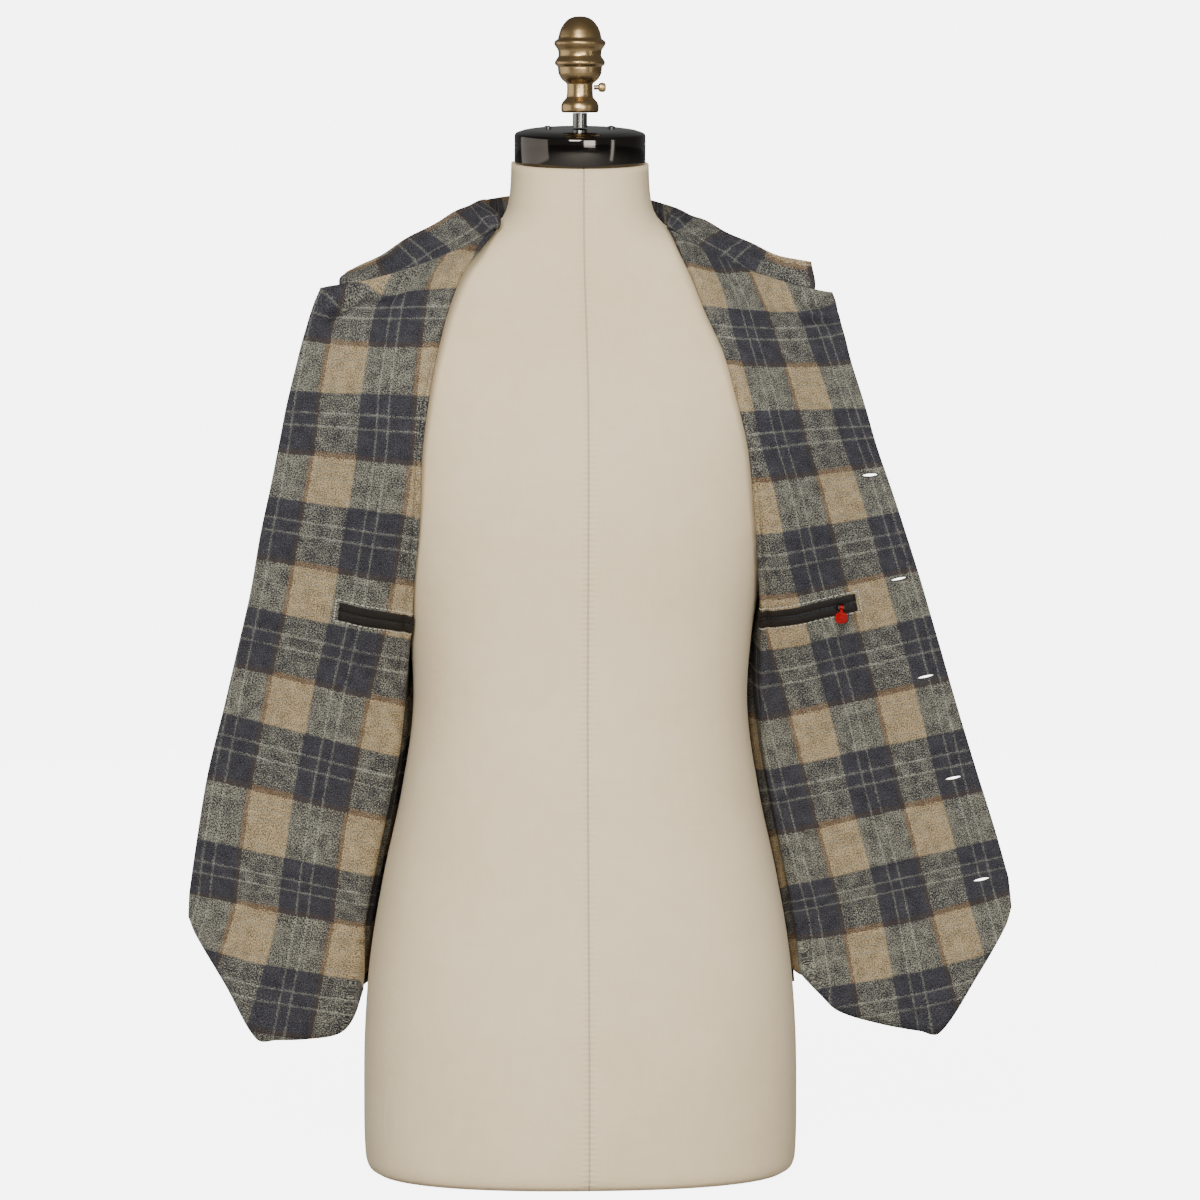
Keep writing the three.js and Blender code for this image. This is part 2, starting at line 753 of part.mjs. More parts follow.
// The u that lies a given length in from the front edge, along the section at v.
function insetFromEdge(sheet, v, length) {
  const steps = 400;
  let walked = 0;
  let last = sheet.point(1, v);
  for (let i = 1; i <= steps; i += 1) {
    const u = 1 - i / steps;
    const here = sheet.point(u, v);
    walked += here.distanceTo(last);
    if (walked >= length) return u;
    last = here;
  }
  return 0;
}

// A flat piece's placing on a sheet: its own z along the wool side's normal, x along the section.
function placedOn(sheet, u, v, offset) {
  const normal = sheet.normal(u, v);
  const across = sheet.point(Math.min(u + 0.01, 1), v).sub(sheet.point(Math.max(u - 0.01, 0), v));
  across.addScaledVector(normal, -across.dot(normal)).normalize();
  const up = normal.clone().cross(across);
  const turn = new THREE.Matrix4().makeBasis(across, up, normal);
  const place = sheet.point(u, v).addScaledVector(normal, offset);
  return turn.setPosition(place);
}

function buttonholeCutter(sheet, hole) {
  const v = edgeAt(sheet, hole.z);
  const u = insetFromEdge(sheet, v, hole.inset);
  const outline = new THREE.Shape();
  const half = BUTTONHOLE_LENGTH / 2;
  outline.moveTo(-half, 0);
  outline.quadraticCurveTo(0, -BUTTONHOLE_WIDTH, half, 0);
  outline.quadraticCurveTo(0, BUTTONHOLE_WIDTH, -half, 0);
  const depth = 4 * CLOTH;
  const cutter = new THREE.ExtrudeGeometry(outline, {
    depth,
    bevelEnabled: false,
    curveSegments: 5,
  });
  cutter.translate(0, 0, -depth / 2);
  return cutter.applyMatrix4(placedOn(sheet, u, v, 0));
}

function buttonGeometry() {
  const radius = BUTTON_DIAMETER / 2;
  return turned(
    [
      [0, 0],
      [radius - 2.5, 0],
      [radius, 1.4],
      [radius, BUTTON_THICKNESS - 0.9],
      [radius - 0.9, BUTTON_THICKNESS],
      [0, BUTTON_THICKNESS],
    ],
    14,
  );
}

// The sheet's v, moved down (or up, if negative) by a length along the cloth.
function movedDown(sheet, u, v, length) {
  const step = 0.004;
  const pace = sheet.point(u, v + step).distanceTo(sheet.point(u, v - step)) / (2 * step);
  return v + length / pace;
}

// A strip that lies along a section: its sheet runs along (u) and across (v) from 0 to 1.
function stripSheet(sheet, place, top, bottom) {
  return {
    point: (s, t) => {
      const u = THREE.MathUtils.lerp(place.uFrom, place.uTo, s);
      const length = THREE.MathUtils.lerp(top, bottom, t);
      return sheet.point(u, movedDown(sheet, u, place.v, length));
    },
    normal: (s, t) => {
      const u = THREE.MathUtils.lerp(place.uFrom, place.uTo, s);
      const length = THREE.MathUtils.lerp(top, bottom, t);
      return sheet.normal(u, movedDown(sheet, u, place.v, length));
    },
  };
}

function pocketPlace(sheet, pocket) {
  return {
    v: POCKET_V,
    uFrom: insetFromEdge(sheet, POCKET_V, pocket.inset + POCKET_LENGTH),
    uTo: insetFromEdge(sheet, POCKET_V, pocket.inset),
  };
}

// The slider lies on the welts, and its pin is level, so that the pull hangs plumb from it.
function sliderFrames(sheet, u, v) {
  const onWelts = CLOTH / 2 + 2 * LAID_GAP + WELT_THICKNESS;
  const flat = placedOn(sheet, u, v, onWelts);
  const outward = new THREE.Vector3().setFromMatrixColumn(flat, 2);
  const up = new THREE.Vector3(0, 0, 1);
  const level = up.clone().cross(outward).normalize();
  const hanging = new THREE.Matrix4().makeBasis(level, up.clone().cross(level), up);
  const pin = new THREE.Vector3().setFromMatrixPosition(flat);
  hanging.setPosition(pin.addScaledVector(outward, SLIDER_THICKNESS + PIN_STANDS_OFF));
  return { flat, hanging };
}

function roundedPlate(width, height, corner, thickness) {
  const outline = new THREE.Shape();
  const x = width / 2;
  const y = height / 2;
  outline.moveTo(-x + corner, -y);
  outline.absarc(x - corner, -y + corner, corner, -Math.PI / 2, 0);
  outline.absarc(x - corner, y - corner, corner, 0, Math.PI / 2);
  outline.absarc(-x + corner, y - corner, corner, Math.PI / 2, Math.PI);
  outline.absarc(-x + corner, -y + corner, corner, Math.PI, 1.5 * Math.PI);
  return new THREE.ExtrudeGeometry(outline, {
    depth: thickness,
    bevelEnabled: false,
    curveSegments: 4,
  });
}

function joined(geometries) {
  let solid = toManifold(geometries[0]);
  for (const geometry of geometries.slice(1)) solid = solid.add(toManifold(geometry));
  return fromManifold(solid);
}

function sliderGeometry(frames) {
  const plate = roundedPlate(9, 6, 1.6, SLIDER_THICKNESS).applyMatrix4(frames.flat);
  const parts = [plate];
  const pin = new THREE.CylinderGeometry(PIN_RADIUS, PIN_RADIUS, 2 * LUG_PLACE, 12);
  parts.push(pin.rotateZ(Math.PI / 2).applyMatrix4(frames.hanging));
  for (const side of [-1, 1]) {
    const lug = new THREE.BoxGeometry(LUG_WIDTH, PIN_STANDS_OFF + 2.2, 2.8);
    lug.translate(side * LUG_PLACE, (PIN_STANDS_OFF + 2.2) / 2 - 1.4, 0);
    parts.push(lug.applyMatrix4(frames.hanging));
  }
  return joined(parts);
}

// The pull: an eye round the slider's pin, a short stem and a plain rounded tab.
function pullGeometry() {
  const ring = new THREE.Shape();
  ring.absarc(0, 0, PIN_RADIUS + 1.1, 0, 2 * Math.PI);
  const hole = new THREE.Path();
  hole.absarc(0, 0, PIN_RADIUS + 0.35, 0, 2 * Math.PI, true);
  ring.holes.push(hole);
  const eye = new THREE.ExtrudeGeometry(ring, {
    depth: EYE_WIDTH,
    bevelEnabled: false,
    curveSegments: 8,
  });
  eye.translate(0, 0, -EYE_WIDTH / 2).rotateY(Math.PI / 2);
  const stemTop = -PIN_RADIUS - 0.7;
  const stemBottom = -5;
  const stem = new THREE.BoxGeometry(EYE_WIDTH, PULL_THICKNESS, stemTop - stemBottom);
  stem.translate(0, 0, (stemTop + stemBottom) / 2);
  const tabLength = PULL_LENGTH - 4;
  const tab = roundedPlate(PULL_WIDTH, tabLength, 3.5, PULL_THICKNESS);
  tab.rotateX(Math.PI / 2).translate(0, PULL_THICKNESS / 2, -4 - tabLength / 2);
  return joined([eye, stem, tab]);
}

// ---------- the object ----------

const PALETTE = {
  wool: { color: 0x6f6c69, roughness: 0.95, metalness: 0 },
  leather: { color: 0x2b2420, roughness: 0.6, metalness: 0 },
  canvas: { color: 0xcfc3ad, roughness: 0.9, metalness: 0 },
  gunmetal: { color: 0x3a3836, roughness: 0.2, metalness: 1 },
  steel: { color: 0x9a9a9a, roughness: 0.25, metalness: 1 },
  brass: { color: 0x9a7c46, roughness: 0.35, metalness: 1 },
  horn: { color: 0x2a211b, roughness: 0.4, metalness: 0 },
  enamel: { color: 0xb01818, roughness: 0.35, metalness: 0 },
};

const object = new THREE.Group();

function addPiece(parent, name, geometry, look) {
  const mesh = new THREE.Mesh(geometry, new THREE.MeshStandardMaterial(PALETTE[look]));
  mesh.name = name;
  parent.add(mesh);
  return mesh;
}

addPiece(object, "form_torso", torsoGeometry(), "canvas");

const cap = new THREE.Group();
cap.position.set(0, 0, FORM_HEIGHT + SEAM_GAP);
cap.rotation.x = CAP_LEAN;
object.add(cap);
addPiece(cap, "neck_cap", capGeometry(), "gunmetal");
for (const [name, x] of [["cap_screw_right", -CAP_SCREW_X], ["cap_screw_left", CAP_SCREW_X]]) {
  const screw = addPiece(cap, name, capScrewGeometry(), "steel");
  screw.position.set(x, CAP_SCREW_Y, CAP_HEIGHT + CAP_CROWN + SEAM_GAP);
}

const rodBase = FORM_HEIGHT + CAP_HEIGHT + CAP_CROWN + ROD_ABOVE_CAP;
const rod = addPiece(object, "rod", rodGeometry(FINIAL_BASE_Z - SEAM_GAP - rodBase), "steel");
rod.position.z = rodBase;
const finial = addPiece(object, "finial", finialGeometry(), "brass");
finial.position.z = FINIAL_BASE_Z;
const thumbScrew = addPiece(object, "thumb_screw", thumbScrewGeometry(), "brass");
thumbScrew.position.set(THUMB_SCREW_X, 0, FINIAL_BASE_Z + THUMB_SCREW_RISE);

const leftFront = frontSheet(LEFT_FRONT_SECTIONS, LEFT_FRONT_HEM, 1);
const rightFront = frontSheet(RIGHT_FRONT_SECTIONS, RIGHT_FRONT_HEM, -1);
const frontUs = [
  ...evenly(0, SHOULDER_U, 5),
  ...evenly(SHOULDER_U, FOLD_U, 2).slice(1),
  ...evenly(FOLD_U, 1, FLAP_STEPS).slice(1),
];
const frontVs = evenly(0, 1, 2 * LEFT_FRONT_SECTIONS.length);
const buttonholes = BUTTONHOLES.map((hole) => buttonholeCutter(leftFront, hole));
const plainLeft = wallOf(leftFront, frontUs, frontVs, -CLOTH / 2, CLOTH / 2);
addPiece(object, "front_left", cutAway(plainLeft, buttonholes), "wool");
addPiece(
  object,
  "front_right",
  wallOf(rightFront, frontUs, frontVs, -CLOTH / 2, CLOTH / 2),
  "wool",
);

const back = backSheet();
addPiece(
  object,
  "back",
  wallOf(back, evenly(0, 1, 24), evenly(0, 1, 22), -CLOTH / 2, CLOTH / 2),
  "leather",
);

const collar = collarSheet();
const halfCollarUs = collarSamples();
const collarUs = [...halfCollarUs, ...halfCollarUs.slice(0, -1).reverse().map((u) => 1 - u)];
addPiece(
  object,
  "collar",
  wallOf(collar, collarUs, evenly(0, 1, 4), -CLOTH / 2, CLOTH / 2),
  "wool",
);

const sheets = { left: leftFront, right: rightFront };
for (const pocket of POCKETS) {
  const sheet = sheets[pocket.front];
  const place = pocketPlace(sheet, pocket);
  const on = CLOTH / 2 + LAID_GAP;
  const strip = (top, bottom) =>
    wallOf(
      stripSheet(sheet, place, top, bottom),
      evenly(0, 1, 12),
      [0, 1],
      on,
      on + WELT_THICKNESS,
    );
  const outer = POCKET_HEIGHT / 2;
  const inner = pocket.space / 2;
  addPiece(object, `welt_upper_${pocket.front}`, strip(-outer, -inner), "leather");
  addPiece(object, `welt_lower_${pocket.front}`, strip(inner, outer), "leather");
  if (pocket.space === ZIPPED_SPACE) {
    addPiece(object, "zip", strip(-ZIP_WIDTH / 2, ZIP_WIDTH / 2), "horn");
    const sliderU = insetFromEdge(sheet, POCKET_V, pocket.inset + SLIDER_INSET);
    const frames = sliderFrames(sheet, sliderU, POCKET_V);
    addPiece(object, "zip_slider", sliderGeometry(frames), "steel");
    const pull = addPiece(object, "zip_pull", pullGeometry(), "enamel");
    pull.applyMatrix4(frames.hanging);
  }
}

BUTTONS.forEach((button, i) => {
  const v = edgeAt(rightFront, button.z);
  const u = insetFromEdge(rightFront, v, button.inset);
  const mesh = addPiece(object, `button_${i + 1}`, buttonGeometry().rotateX(Math.PI), "horn");
  mesh.applyMatrix4(placedOn(rightFront, u, v, -CLOTH / 2 - LAID_GAP));
});

export default object;
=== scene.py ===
# A leather gilet with a checked wool inside, worn wide open on a limbless dress form.
# Metres, +Z up, the wearer faces -Y. "Left" and "right" are the wearer's: left is +X.

import math

import bmesh
import bpy
import numpy as np
from mathutils import Matrix, Vector


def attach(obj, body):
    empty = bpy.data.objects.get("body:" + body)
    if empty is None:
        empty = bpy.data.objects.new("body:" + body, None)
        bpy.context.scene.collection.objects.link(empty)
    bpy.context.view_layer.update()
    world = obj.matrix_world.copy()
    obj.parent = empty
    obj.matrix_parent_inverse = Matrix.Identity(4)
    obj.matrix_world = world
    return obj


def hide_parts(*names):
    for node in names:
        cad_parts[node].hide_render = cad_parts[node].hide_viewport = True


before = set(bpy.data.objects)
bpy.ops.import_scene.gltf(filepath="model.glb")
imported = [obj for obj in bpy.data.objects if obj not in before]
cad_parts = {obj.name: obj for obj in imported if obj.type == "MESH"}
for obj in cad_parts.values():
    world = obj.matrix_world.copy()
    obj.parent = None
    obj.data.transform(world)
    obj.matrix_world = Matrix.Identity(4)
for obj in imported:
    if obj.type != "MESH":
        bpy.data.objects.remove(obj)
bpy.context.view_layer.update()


# ---------- dress form: torso ----------
# A hollow padded shell covered in cream linen canvas, sewn with one seam down the middle of the
# front and one down the back, and cut off flat at the hips and at the neck.

FORM_POWER = 2.4  # squareness of the form's level sections
FORM_TOP = 0.826
NECK_LEAN = math.radians(5)  # the neck's top and its cap lean forward

# Height, half width, depth to the front and depth to the rear.
FORM_SECTIONS = [
    (0.000, 0.1680, 0.1210, 0.1240),
    (0.004, 0.1740, 0.1270, 0.1300),
    (0.014, 0.1770, 0.1300, 0.1330),
    (0.060, 0.1780, 0.1310, 0.1350),
    (0.120, 0.1770, 0.1280, 0.1360),
    (0.180, 0.1720, 0.1230, 0.1320),
    (0.245, 0.1610, 0.1160, 0.1210),
    (0.310, 0.1470, 0.1100, 0.1080),
    (0.380, 0.1370, 0.1070, 0.0990),
    (0.440, 0.1400, 0.1100, 0.1000),
    (0.500, 0.1500, 0.1160, 0.1070),
    (0.560, 0.1610, 0.1200, 0.1150),
    (0.610, 0.1680, 0.1190, 0.1190),
    (0.650, 0.1730, 0.1120, 0.1170),
    (0.690, 0.1810, 0.0930, 0.1070),
    (0.715, 0.1820, 0.0790, 0.0970),
    (0.728, 0.1770, 0.0720, 0.0900),
    (0.740, 0.1630, 0.0660, 0.0840),
    (0.750, 0.1380, 0.0620, 0.0790),
    (0.760, 0.1080, 0.0590, 0.0730),
    (0.770, 0.0800, 0.0575, 0.0660),
    (0.778, 0.0670, 0.0570, 0.0610),
    (0.788, 0.0600, 0.0565, 0.0580),
    (0.804, 0.0570, 0.0560, 0.0565),
    (FORM_TOP, 0.0560, 0.0560, 0.0560),
]


def hermite(start, end, start_slope, end_slope, s):
    s2 = s * s
    s3 = s2 * s
    return (
        start * (2 * s3 - 3 * s2 + 1)
        + start_slope * (s3 - 2 * s2 + s)
        + end * (3 * s2 - 2 * s3)
        + end_slope * (s3 - s2)
    )


def smooth_column(rows, column, key=0):
    """A smooth curve through one column of a table, against another."""
    at = np.array([row[key] for row in rows], float)
    value = np.array([row[column] for row in rows], float)
    last = len(rows) - 1
    before = np.maximum(np.arange(last + 1) - 1, 0)
    after = np.minimum(np.arange(last + 1) + 1, last)
    slope = (value[after] - value[before]) / (at[after] - at[before])

    def curve(x):
        x = np.clip(x, at[0], at[-1])
        i = np.clip(np.searchsorted(at, x) - 1, 0, last - 1)
        step = at[i + 1] - at[i]
        s = (x - at[i]) / step
        return hermite(value[i], value[i + 1], slope[i] * step, slope[i + 1] * step, s)

    return curve


def smoothstep(x, start, end):
    s = np.clip((x - start) / (end - start), 0, 1)
    return s * s * (3 - 2 * s)


def lerp(start, end, s):
    return start + (end - start) * s


form_half_width = smooth_column(FORM_SECTIONS, 1)
form_front = smooth_column(FORM_SECTIONS, 2)
form_rear = smooth_column(FORM_SECTIONS, 3)


def around_form(degrees, z, across=0, through=0):
    """On or off the form's surface: 0 degrees is its widest line on +X, 90 degrees its rear."""
    angle = np.radians(degrees)
    z = z + 0 * angle
    depth = np.where(np.sin(angle) < 0, form_front(z), form_rear(z))
    level = [np.cos(angle), np.sin(angle)]
    x, y = (np.sign(part) * np.abs(part) ** (2 / FORM_POWER) for part in level)
    return np.stack([(form_half_width(z) + across) * x, (depth + through) * y, z], axis=-1)


def sheet_mesh(us, vs, place, cloth_at=None, closed=False):
    """A grid bent to place(u, v), u along it and v down it, with a cloth's own UV if given."""
    sheet = bmesh.new()
    cloth = sheet.loops.layers.uv.new("cloth") if cloth_at else None
    bmesh.ops.create_grid(sheet, x_segments=len(us) - 1, y_segments=len(vs) - 1, size=0.5)
    flat = np.array([corner.co for corner in sheet.verts])
    columns = np.rint((flat[:, 0] + 0.5) * (len(us) - 1)).astype(int)
    rows = np.rint((0.5 - flat[:, 1]) * (len(vs) - 1)).astype(int)
    u, v = np.asarray(us)[columns], np.asarray(vs)[rows]
    for corner, at in zip(sheet.verts, place(u, v)):
        corner.co = at
    if cloth_at:
        across_down = cloth_at(u, v)
        for face in sheet.faces:
            for loop in face.loops:
                loop[cloth].uv = across_down[loop.vert.index]
    if closed:
        bmesh.ops.remove_doubles(sheet, verts=sheet.verts, dist=1e-6)
        bmesh.ops.recalc_face_normals(sheet, faces=sheet.faces)
    return sheet


def fitted(name, shape, finish, body="root"):
    """Makes a named piece of a finished shape, and fixes it to its body."""
    mesh = bpy.data.meshes.new(name)
    shape.to_mesh(mesh)
    shape.free()
    mesh.materials.append(finish)
    mesh.shade_smooth()
    piece = bpy.data.objects.new(name, mesh)
    bpy.context.collection.objects.link(piece)
    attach(piece, body)
    return piece


def new_finish(name, **settings):
    """A material, its node tree and its shader, with constant values set on the shader."""
    finish = bpy.data.materials.new(name)
    finish.use_nodes = True
    tree = finish.node_tree
    shader = tree.nodes["Principled BSDF"]
    for socket, value in settings.items():
        shader.inputs[socket.replace("_", " ")].default_value = value
    return finish, tree, shader


def node(tree, kind, settings=None, **inputs):
    """Adds a shader node. Inputs are values or the sockets that feed them."""
    made = tree.nodes.new(kind)
    for name, value in (settings or {}).items():
        setattr(made, name, value)
    for name, value in inputs.items():
        key = int(name[1:]) if name[0] == "i" and name[1:].isdigit() else name.replace("_", " ")
        if isinstance(value, bpy.types.NodeSocket):
            tree.links.new(value, made.inputs[key])
        else:
            made.inputs[key].default_value = value
    return made


def maths(tree, operation, a, b=0.0, c=0.0):
    return node(tree, "ShaderNodeMath", {"operation": operation}, i0=a, i1=b, i2=c).outputs[0]


def noise(tree, place, scale, detail, **more):
    """A cloudy value round 0.5 that changes over the surface."""
    made = node(tree, "ShaderNodeTexNoise", None, Vector=place, Scale=scale, Detail=detail, **more)
    return made.outputs[0]


def swing(tree, value, reach, base):
    """Adds a cloudy value's swing round 0.5 to a base, times a reach."""
    return maths(tree, "MULTIPLY_ADD", maths(tree, "SUBTRACT", value, 0.5), reach, base)


def object_place(tree):
    return node(tree, "ShaderNodeTexCoord").outputs["Object"]


def raise_bump(tree, shader, height, distance, strength):
    bump = node(tree, "ShaderNodeBump", None, Height=height, Distance=distance, Strength=strength)
    tree.links.new(bump.outputs[0], shader.inputs["Normal"])


def mixed(tree, factor, a, b, blend="MIX"):
    """Two colours mixed by a factor."""
    settings = {"data_type": "RGBA", "blend_type": blend}
    made = node(tree, "ShaderNodeMix", settings, i0=factor, i6=a, i7=b)
    return made.outputs[2]


def spread(tree, value, low, high, to_low=0.0, to_high=1.0):
    """Maps a value from one range to another, clamped."""
    made = node(tree, "ShaderNodeMapRange", None, i0=value, i1=low, i2=high, i3=to_low, i4=to_high)
    return made.outputs[0]


def new_effect(name, inputs, outputs):
    """An empty node group with named sockets: inputs are (name, kind, default)."""
    effect = bpy.data.node_groups.new(name, "ShaderNodeTree")
    for socket, kind, default in inputs:
        made = effect.interface.new_socket(socket, in_out="INPUT", socket_type=kind)
        if default is not None:
            made.default_value = default
    for socket, kind in outputs:
        effect.interface.new_socket(socket, in_out="OUTPUT", socket_type=kind)
    entry = effect.nodes.new("NodeGroupInput")
    leave = effect.nodes.new("NodeGroupOutput")
    return effect, entry.outputs, leave.inputs


def placed_effect(tree, effect, **inputs):
    return node(tree, "ShaderNodeGroup", {"node_tree": effect}, **inputs).outputs


VECTOR, FLOAT, COLOUR = "NodeSocketVector", "NodeSocketFloat", "NodeSocketColor"


def make_plain_weave():
    """Crossing threads with uneven thickness, and slubs along them."""
    weave, given, out = new_effect(
        "plain weave",
        [("Vector", VECTOR, None), ("Threads", FLOAT, 1200.0), ("Slub", FLOAT, 0.4)],
        [("Height", FLOAT), ("Slubs", FLOAT)],
    )
    place = node(weave, "ShaderNodeSeparateXYZ", None, Vector=given["Vector"])
    turns = maths(weave, "MULTIPLY", given["Threads"], math.pi)
    heights = []
    for axis in (0, 1):
        run = maths(weave, "MULTIPLY", place.outputs[axis], turns)
        heights.append(maths(weave, "ABSOLUTE", maths(weave, "SINE", run)))
    woven = maths(weave, "MAXIMUM", heights[0], heights[1])
    slubs = []
    for stretch in ((1.0, 0.06, 1.0), (0.06, 1.0, 1.0)):
        along = node(weave, "ShaderNodeMapping", None, Vector=given["Vector"], Scale=stretch)
        slubs.append(noise(weave, along.outputs[0], 420.0, 2.0))
    slub = maths(weave, "MAXIMUM", slubs[0], slubs[1])
    weave.links.new(swing(weave, slub, given["Slub"], woven), out["Height"])
    weave.links.new(slub, out["Slubs"])
    return weave


def make_soiling():
    """Broad uneven patches with a finer break-up, for age, handling and tarnish."""
    soiling, given, out = new_effect(
        "soiling",
        [("Vector", VECTOR, None), ("Size", FLOAT, 12.0), ("Breakup", FLOAT, 0.5)],
        [("Mask", FLOAT)],
    )
    broad = noise(soiling, given["Vector"], given["Size"], 4.0)
    fine = noise(soiling, given["Vector"], maths(soiling, "MULTIPLY", given["Size"], 9.0), 3.0)
    both = swing(soiling, fine, given["Breakup"], broad)
    soiling.links.new(spread(soiling, both, 0.35, 0.68), out["Mask"])
    return soiling


plain_weave = make_plain_weave()
soiling = make_soiling()

CANVAS_CREAM = (0.88, 0.71, 0.45, 1)
CANVAS_AGED = (0.82, 0.65, 0.395, 1)
CANVAS_SLUB = (0.92, 0.78, 0.54, 1)
CANVAS_SEAM = (0.42, 0.35, 0.25, 1)


def make_canvas():
    canvas, tree, shader = new_finish("linen canvas", Roughness=0.9, Specular_IOR_Level=0.2)
    shader.inputs["Sheen Weight"].default_value = 0.08
    place = object_place(tree)
    split = node(tree, "ShaderNodeSeparateXYZ", None, Vector=place)
    # The threads run level and plumb: across is the distance round the form, near enough.
    wrap = maths(tree, "ADD", split.outputs[0], maths(tree, "MULTIPLY", split.outputs[1], 0.7))
    threads = node(tree, "ShaderNodeCombineXYZ", None, X=wrap, Y=split.outputs[2]).outputs[0]
    weave = placed_effect(tree, plain_weave, Vector=threads, Threads=1500.0, Slub=1.2)
    age = placed_effect(tree, soiling, Vector=place, Size=7.0, Breakup=0.4)["Mask"]
    cloth = mixed(tree, age, CANVAS_CREAM, CANVAS_AGED)
    slubs = spread(tree, weave["Slubs"], 0.5, 0.75)
    cloth = mixed(tree, maths(tree, "MULTIPLY", slubs, 0.2), cloth, CANVAS_SLUB)
    aside = maths(tree, "ABSOLUTE", split.outputs[0])
    seam = spread(tree, aside, 0.0004, 0.0011, 1.0, 0.0)
    cloth = mixed(tree, maths(tree, "MULTIPLY", seam, 0.75), cloth, CANVAS_SEAM)
    tree.links.new(cloth, shader.inputs["Base Color"])
    drawn_in = spread(tree, aside, 0.0, 0.004, -1.0, 0.0)
    puckers = maths(tree, "SINE", maths(tree, "MULTIPLY", split.outputs[2], 1400.0))
    near_seam = spread(tree, aside, 0.001, 0.009, 0.25, 0.0)
    height = maths(tree, "MULTIPLY_ADD", puckers, near_seam, drawn_in)
    height = maths(tree, "MULTIPLY_ADD", weave["Height"], 0.12, height)
    raise_bump(tree, shader, height, 0.0012, 0.8)
    return canvas


END_RISE = 0.04  # share of the rise that crosses each flat end, from its middle to its rim
SKIN_RISE = 1 - 2 * END_RISE


def torso_place(turn, rise):
    """turn goes once round the form, and rise from the middle of its base to that of its top."""
    z = np.clip((rise - END_RISE) / SKIN_RISE, 0, 1) * FORM_TOP
    inward = np.minimum(np.clip(rise / END_RISE, 0, 1), np.clip((1 - rise) / END_RISE, 0, 1))
    skin = around_form(360 * turn, z)
    skin[:, :2] *= inward[:, None]
    skin[:, 2] += skin[:, 1] * math.tan(NECK_LEAN) * smoothstep(z, 0.775, FORM_TOP)
    return skin


# Close together round the bottom edge, where the canvas is turned under.
TURNED_UNDER = np.array([0, 0.001, 0.002, 0.003, 0.004, 0.006, 0.009, 0.012, 0.014])
TORSO_RISES = [0, END_RISE / 2, *(END_RISE + SKIN_RISE * TURNED_UNDER / FORM_TOP)]
TORSO_RISES += [*np.linspace(END_RISE + SKIN_RISE * 0.020 / FORM_TOP, 1 - END_RISE, 150)]
TORSO_RISES += [1 - END_RISE / 2, 1]
torso = fitted(
    "canvas_torso",
    sheet_mesh(np.linspace(0, 1, 193), TORSO_RISES, torso_place, closed=True),
    make_canvas(),
)
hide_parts("form_torso")


# ---------- dress form: neck cap ----------
# A spun steel lid plated in polished black nickel, pressed over the neck's top and held by two
# slotted round-head screws.

CAP_GAP = 0.0003  # between the neck and the cap, and the cap and its screws
CAP_PLACE = Matrix.Translation((0, 0, FORM_TOP + CAP_GAP)) @ Matrix.Rotation(NECK_LEAN, 4, "X")
CAP_HEIGHT = 0.025
CAP_CROWN = 0.003  # how far the middle of its top rises above its rim


def turned(profile, steps=96):
    """A solid of revolution about Z from (radius, height) pairs that start and end on the axis."""
    shape = bmesh.new()
    corners = [shape.verts.new((radius, 0, height)) for radius, height in profile]
    edges = [shape.edges.new(pair) for pair in zip(corners, corners[1:])]
    bmesh.ops.spin(
        shape,
        geom=corners + edges,
        cent=(0, 0, 0),
        axis=(0, 0, 1),
        angle=2 * math.pi,
        steps=steps,
        use_merge=True,
    )
    bmesh.ops.remove_doubles(shape, verts=shape.verts, dist=1e-6)
    bmesh.ops.recalc_face_normals(shape, faces=shape.faces)
    return shape


def smooth_profile(points):
    """Four times as many points on a smooth curve through the given ones."""
    numbered = [(i, radius, height) for i, (radius, height) in enumerate(points)]
    at = np.linspace(0, len(points) - 1, (len(points) - 1) * 4 + 1)
    radius, height = smooth_column(numbered, 1)(at), smooth_column(numbered, 2)(at)
    return list(zip(np.maximum(radius, 0), height))


def make_brushed_metal():
    """Fine turning or rubbing lines and a few handling marks, for worked metal."""
    rubbed, given, out = new_effect(
        "rubbed metal",
        [("Vector", VECTOR, None), ("Lines", VECTOR, (1.0, 1.0, 60.0)), ("Size", FLOAT, 90.0)],
        [("Lines", FLOAT), ("Smears", FLOAT)],
    )
    along = node(rubbed, "ShaderNodeMapping", None, Vector=given["Vector"], Scale=given["Lines"])
    rubbed.links.new(noise(rubbed, along.outputs[0], given["Size"], 3.0), out["Lines"])
    smears = noise(rubbed, given["Vector"], 35.0, 5.0)
    rubbed.links.new(spread(rubbed, smears, 0.4, 0.7), out["Smears"])
    return rubbed


rubbed_metal = make_brushed_metal()


def make_metal(name, bright, dull, roughness, lines):
    """A worked metal: bright where rubbed, dull in patches, with fine level lines in its gloss."""
    metal, tree, shader = new_finish(name, Metallic=1.0)
    place = object_place(tree)
    rubbed = placed_effect(tree, rubbed_metal, Vector=place, Lines=(1.0, 1.0, lines))
    tree.links.new(mixed(tree, rubbed["Smears"], (*bright, 1), (*dull, 1)), shader.inputs["Base Color"])
    gloss = spread(tree, rubbed["Lines"], 0.3, 0.7, roughness * 0.8, roughness * 1.3)
    gloss = maths(tree, "MULTIPLY_ADD", rubbed["Smears"], roughness * 0.5, gloss)
    tree.links.new(gloss, shader.inputs["Roughness"])
    raise_bump(tree, shader, rubbed["Lines"], 0.0001, 0.25)
    return metal


black_nickel = make_metal("black nickel", (0.085, 0.074, 0.064), (0.065, 0.057, 0.049), 0.07, 8.0)
polished_steel = make_metal("polished steel", (0.22, 0.21, 0.19), (0.14, 0.13, 0.115), 0.18, 14.0)

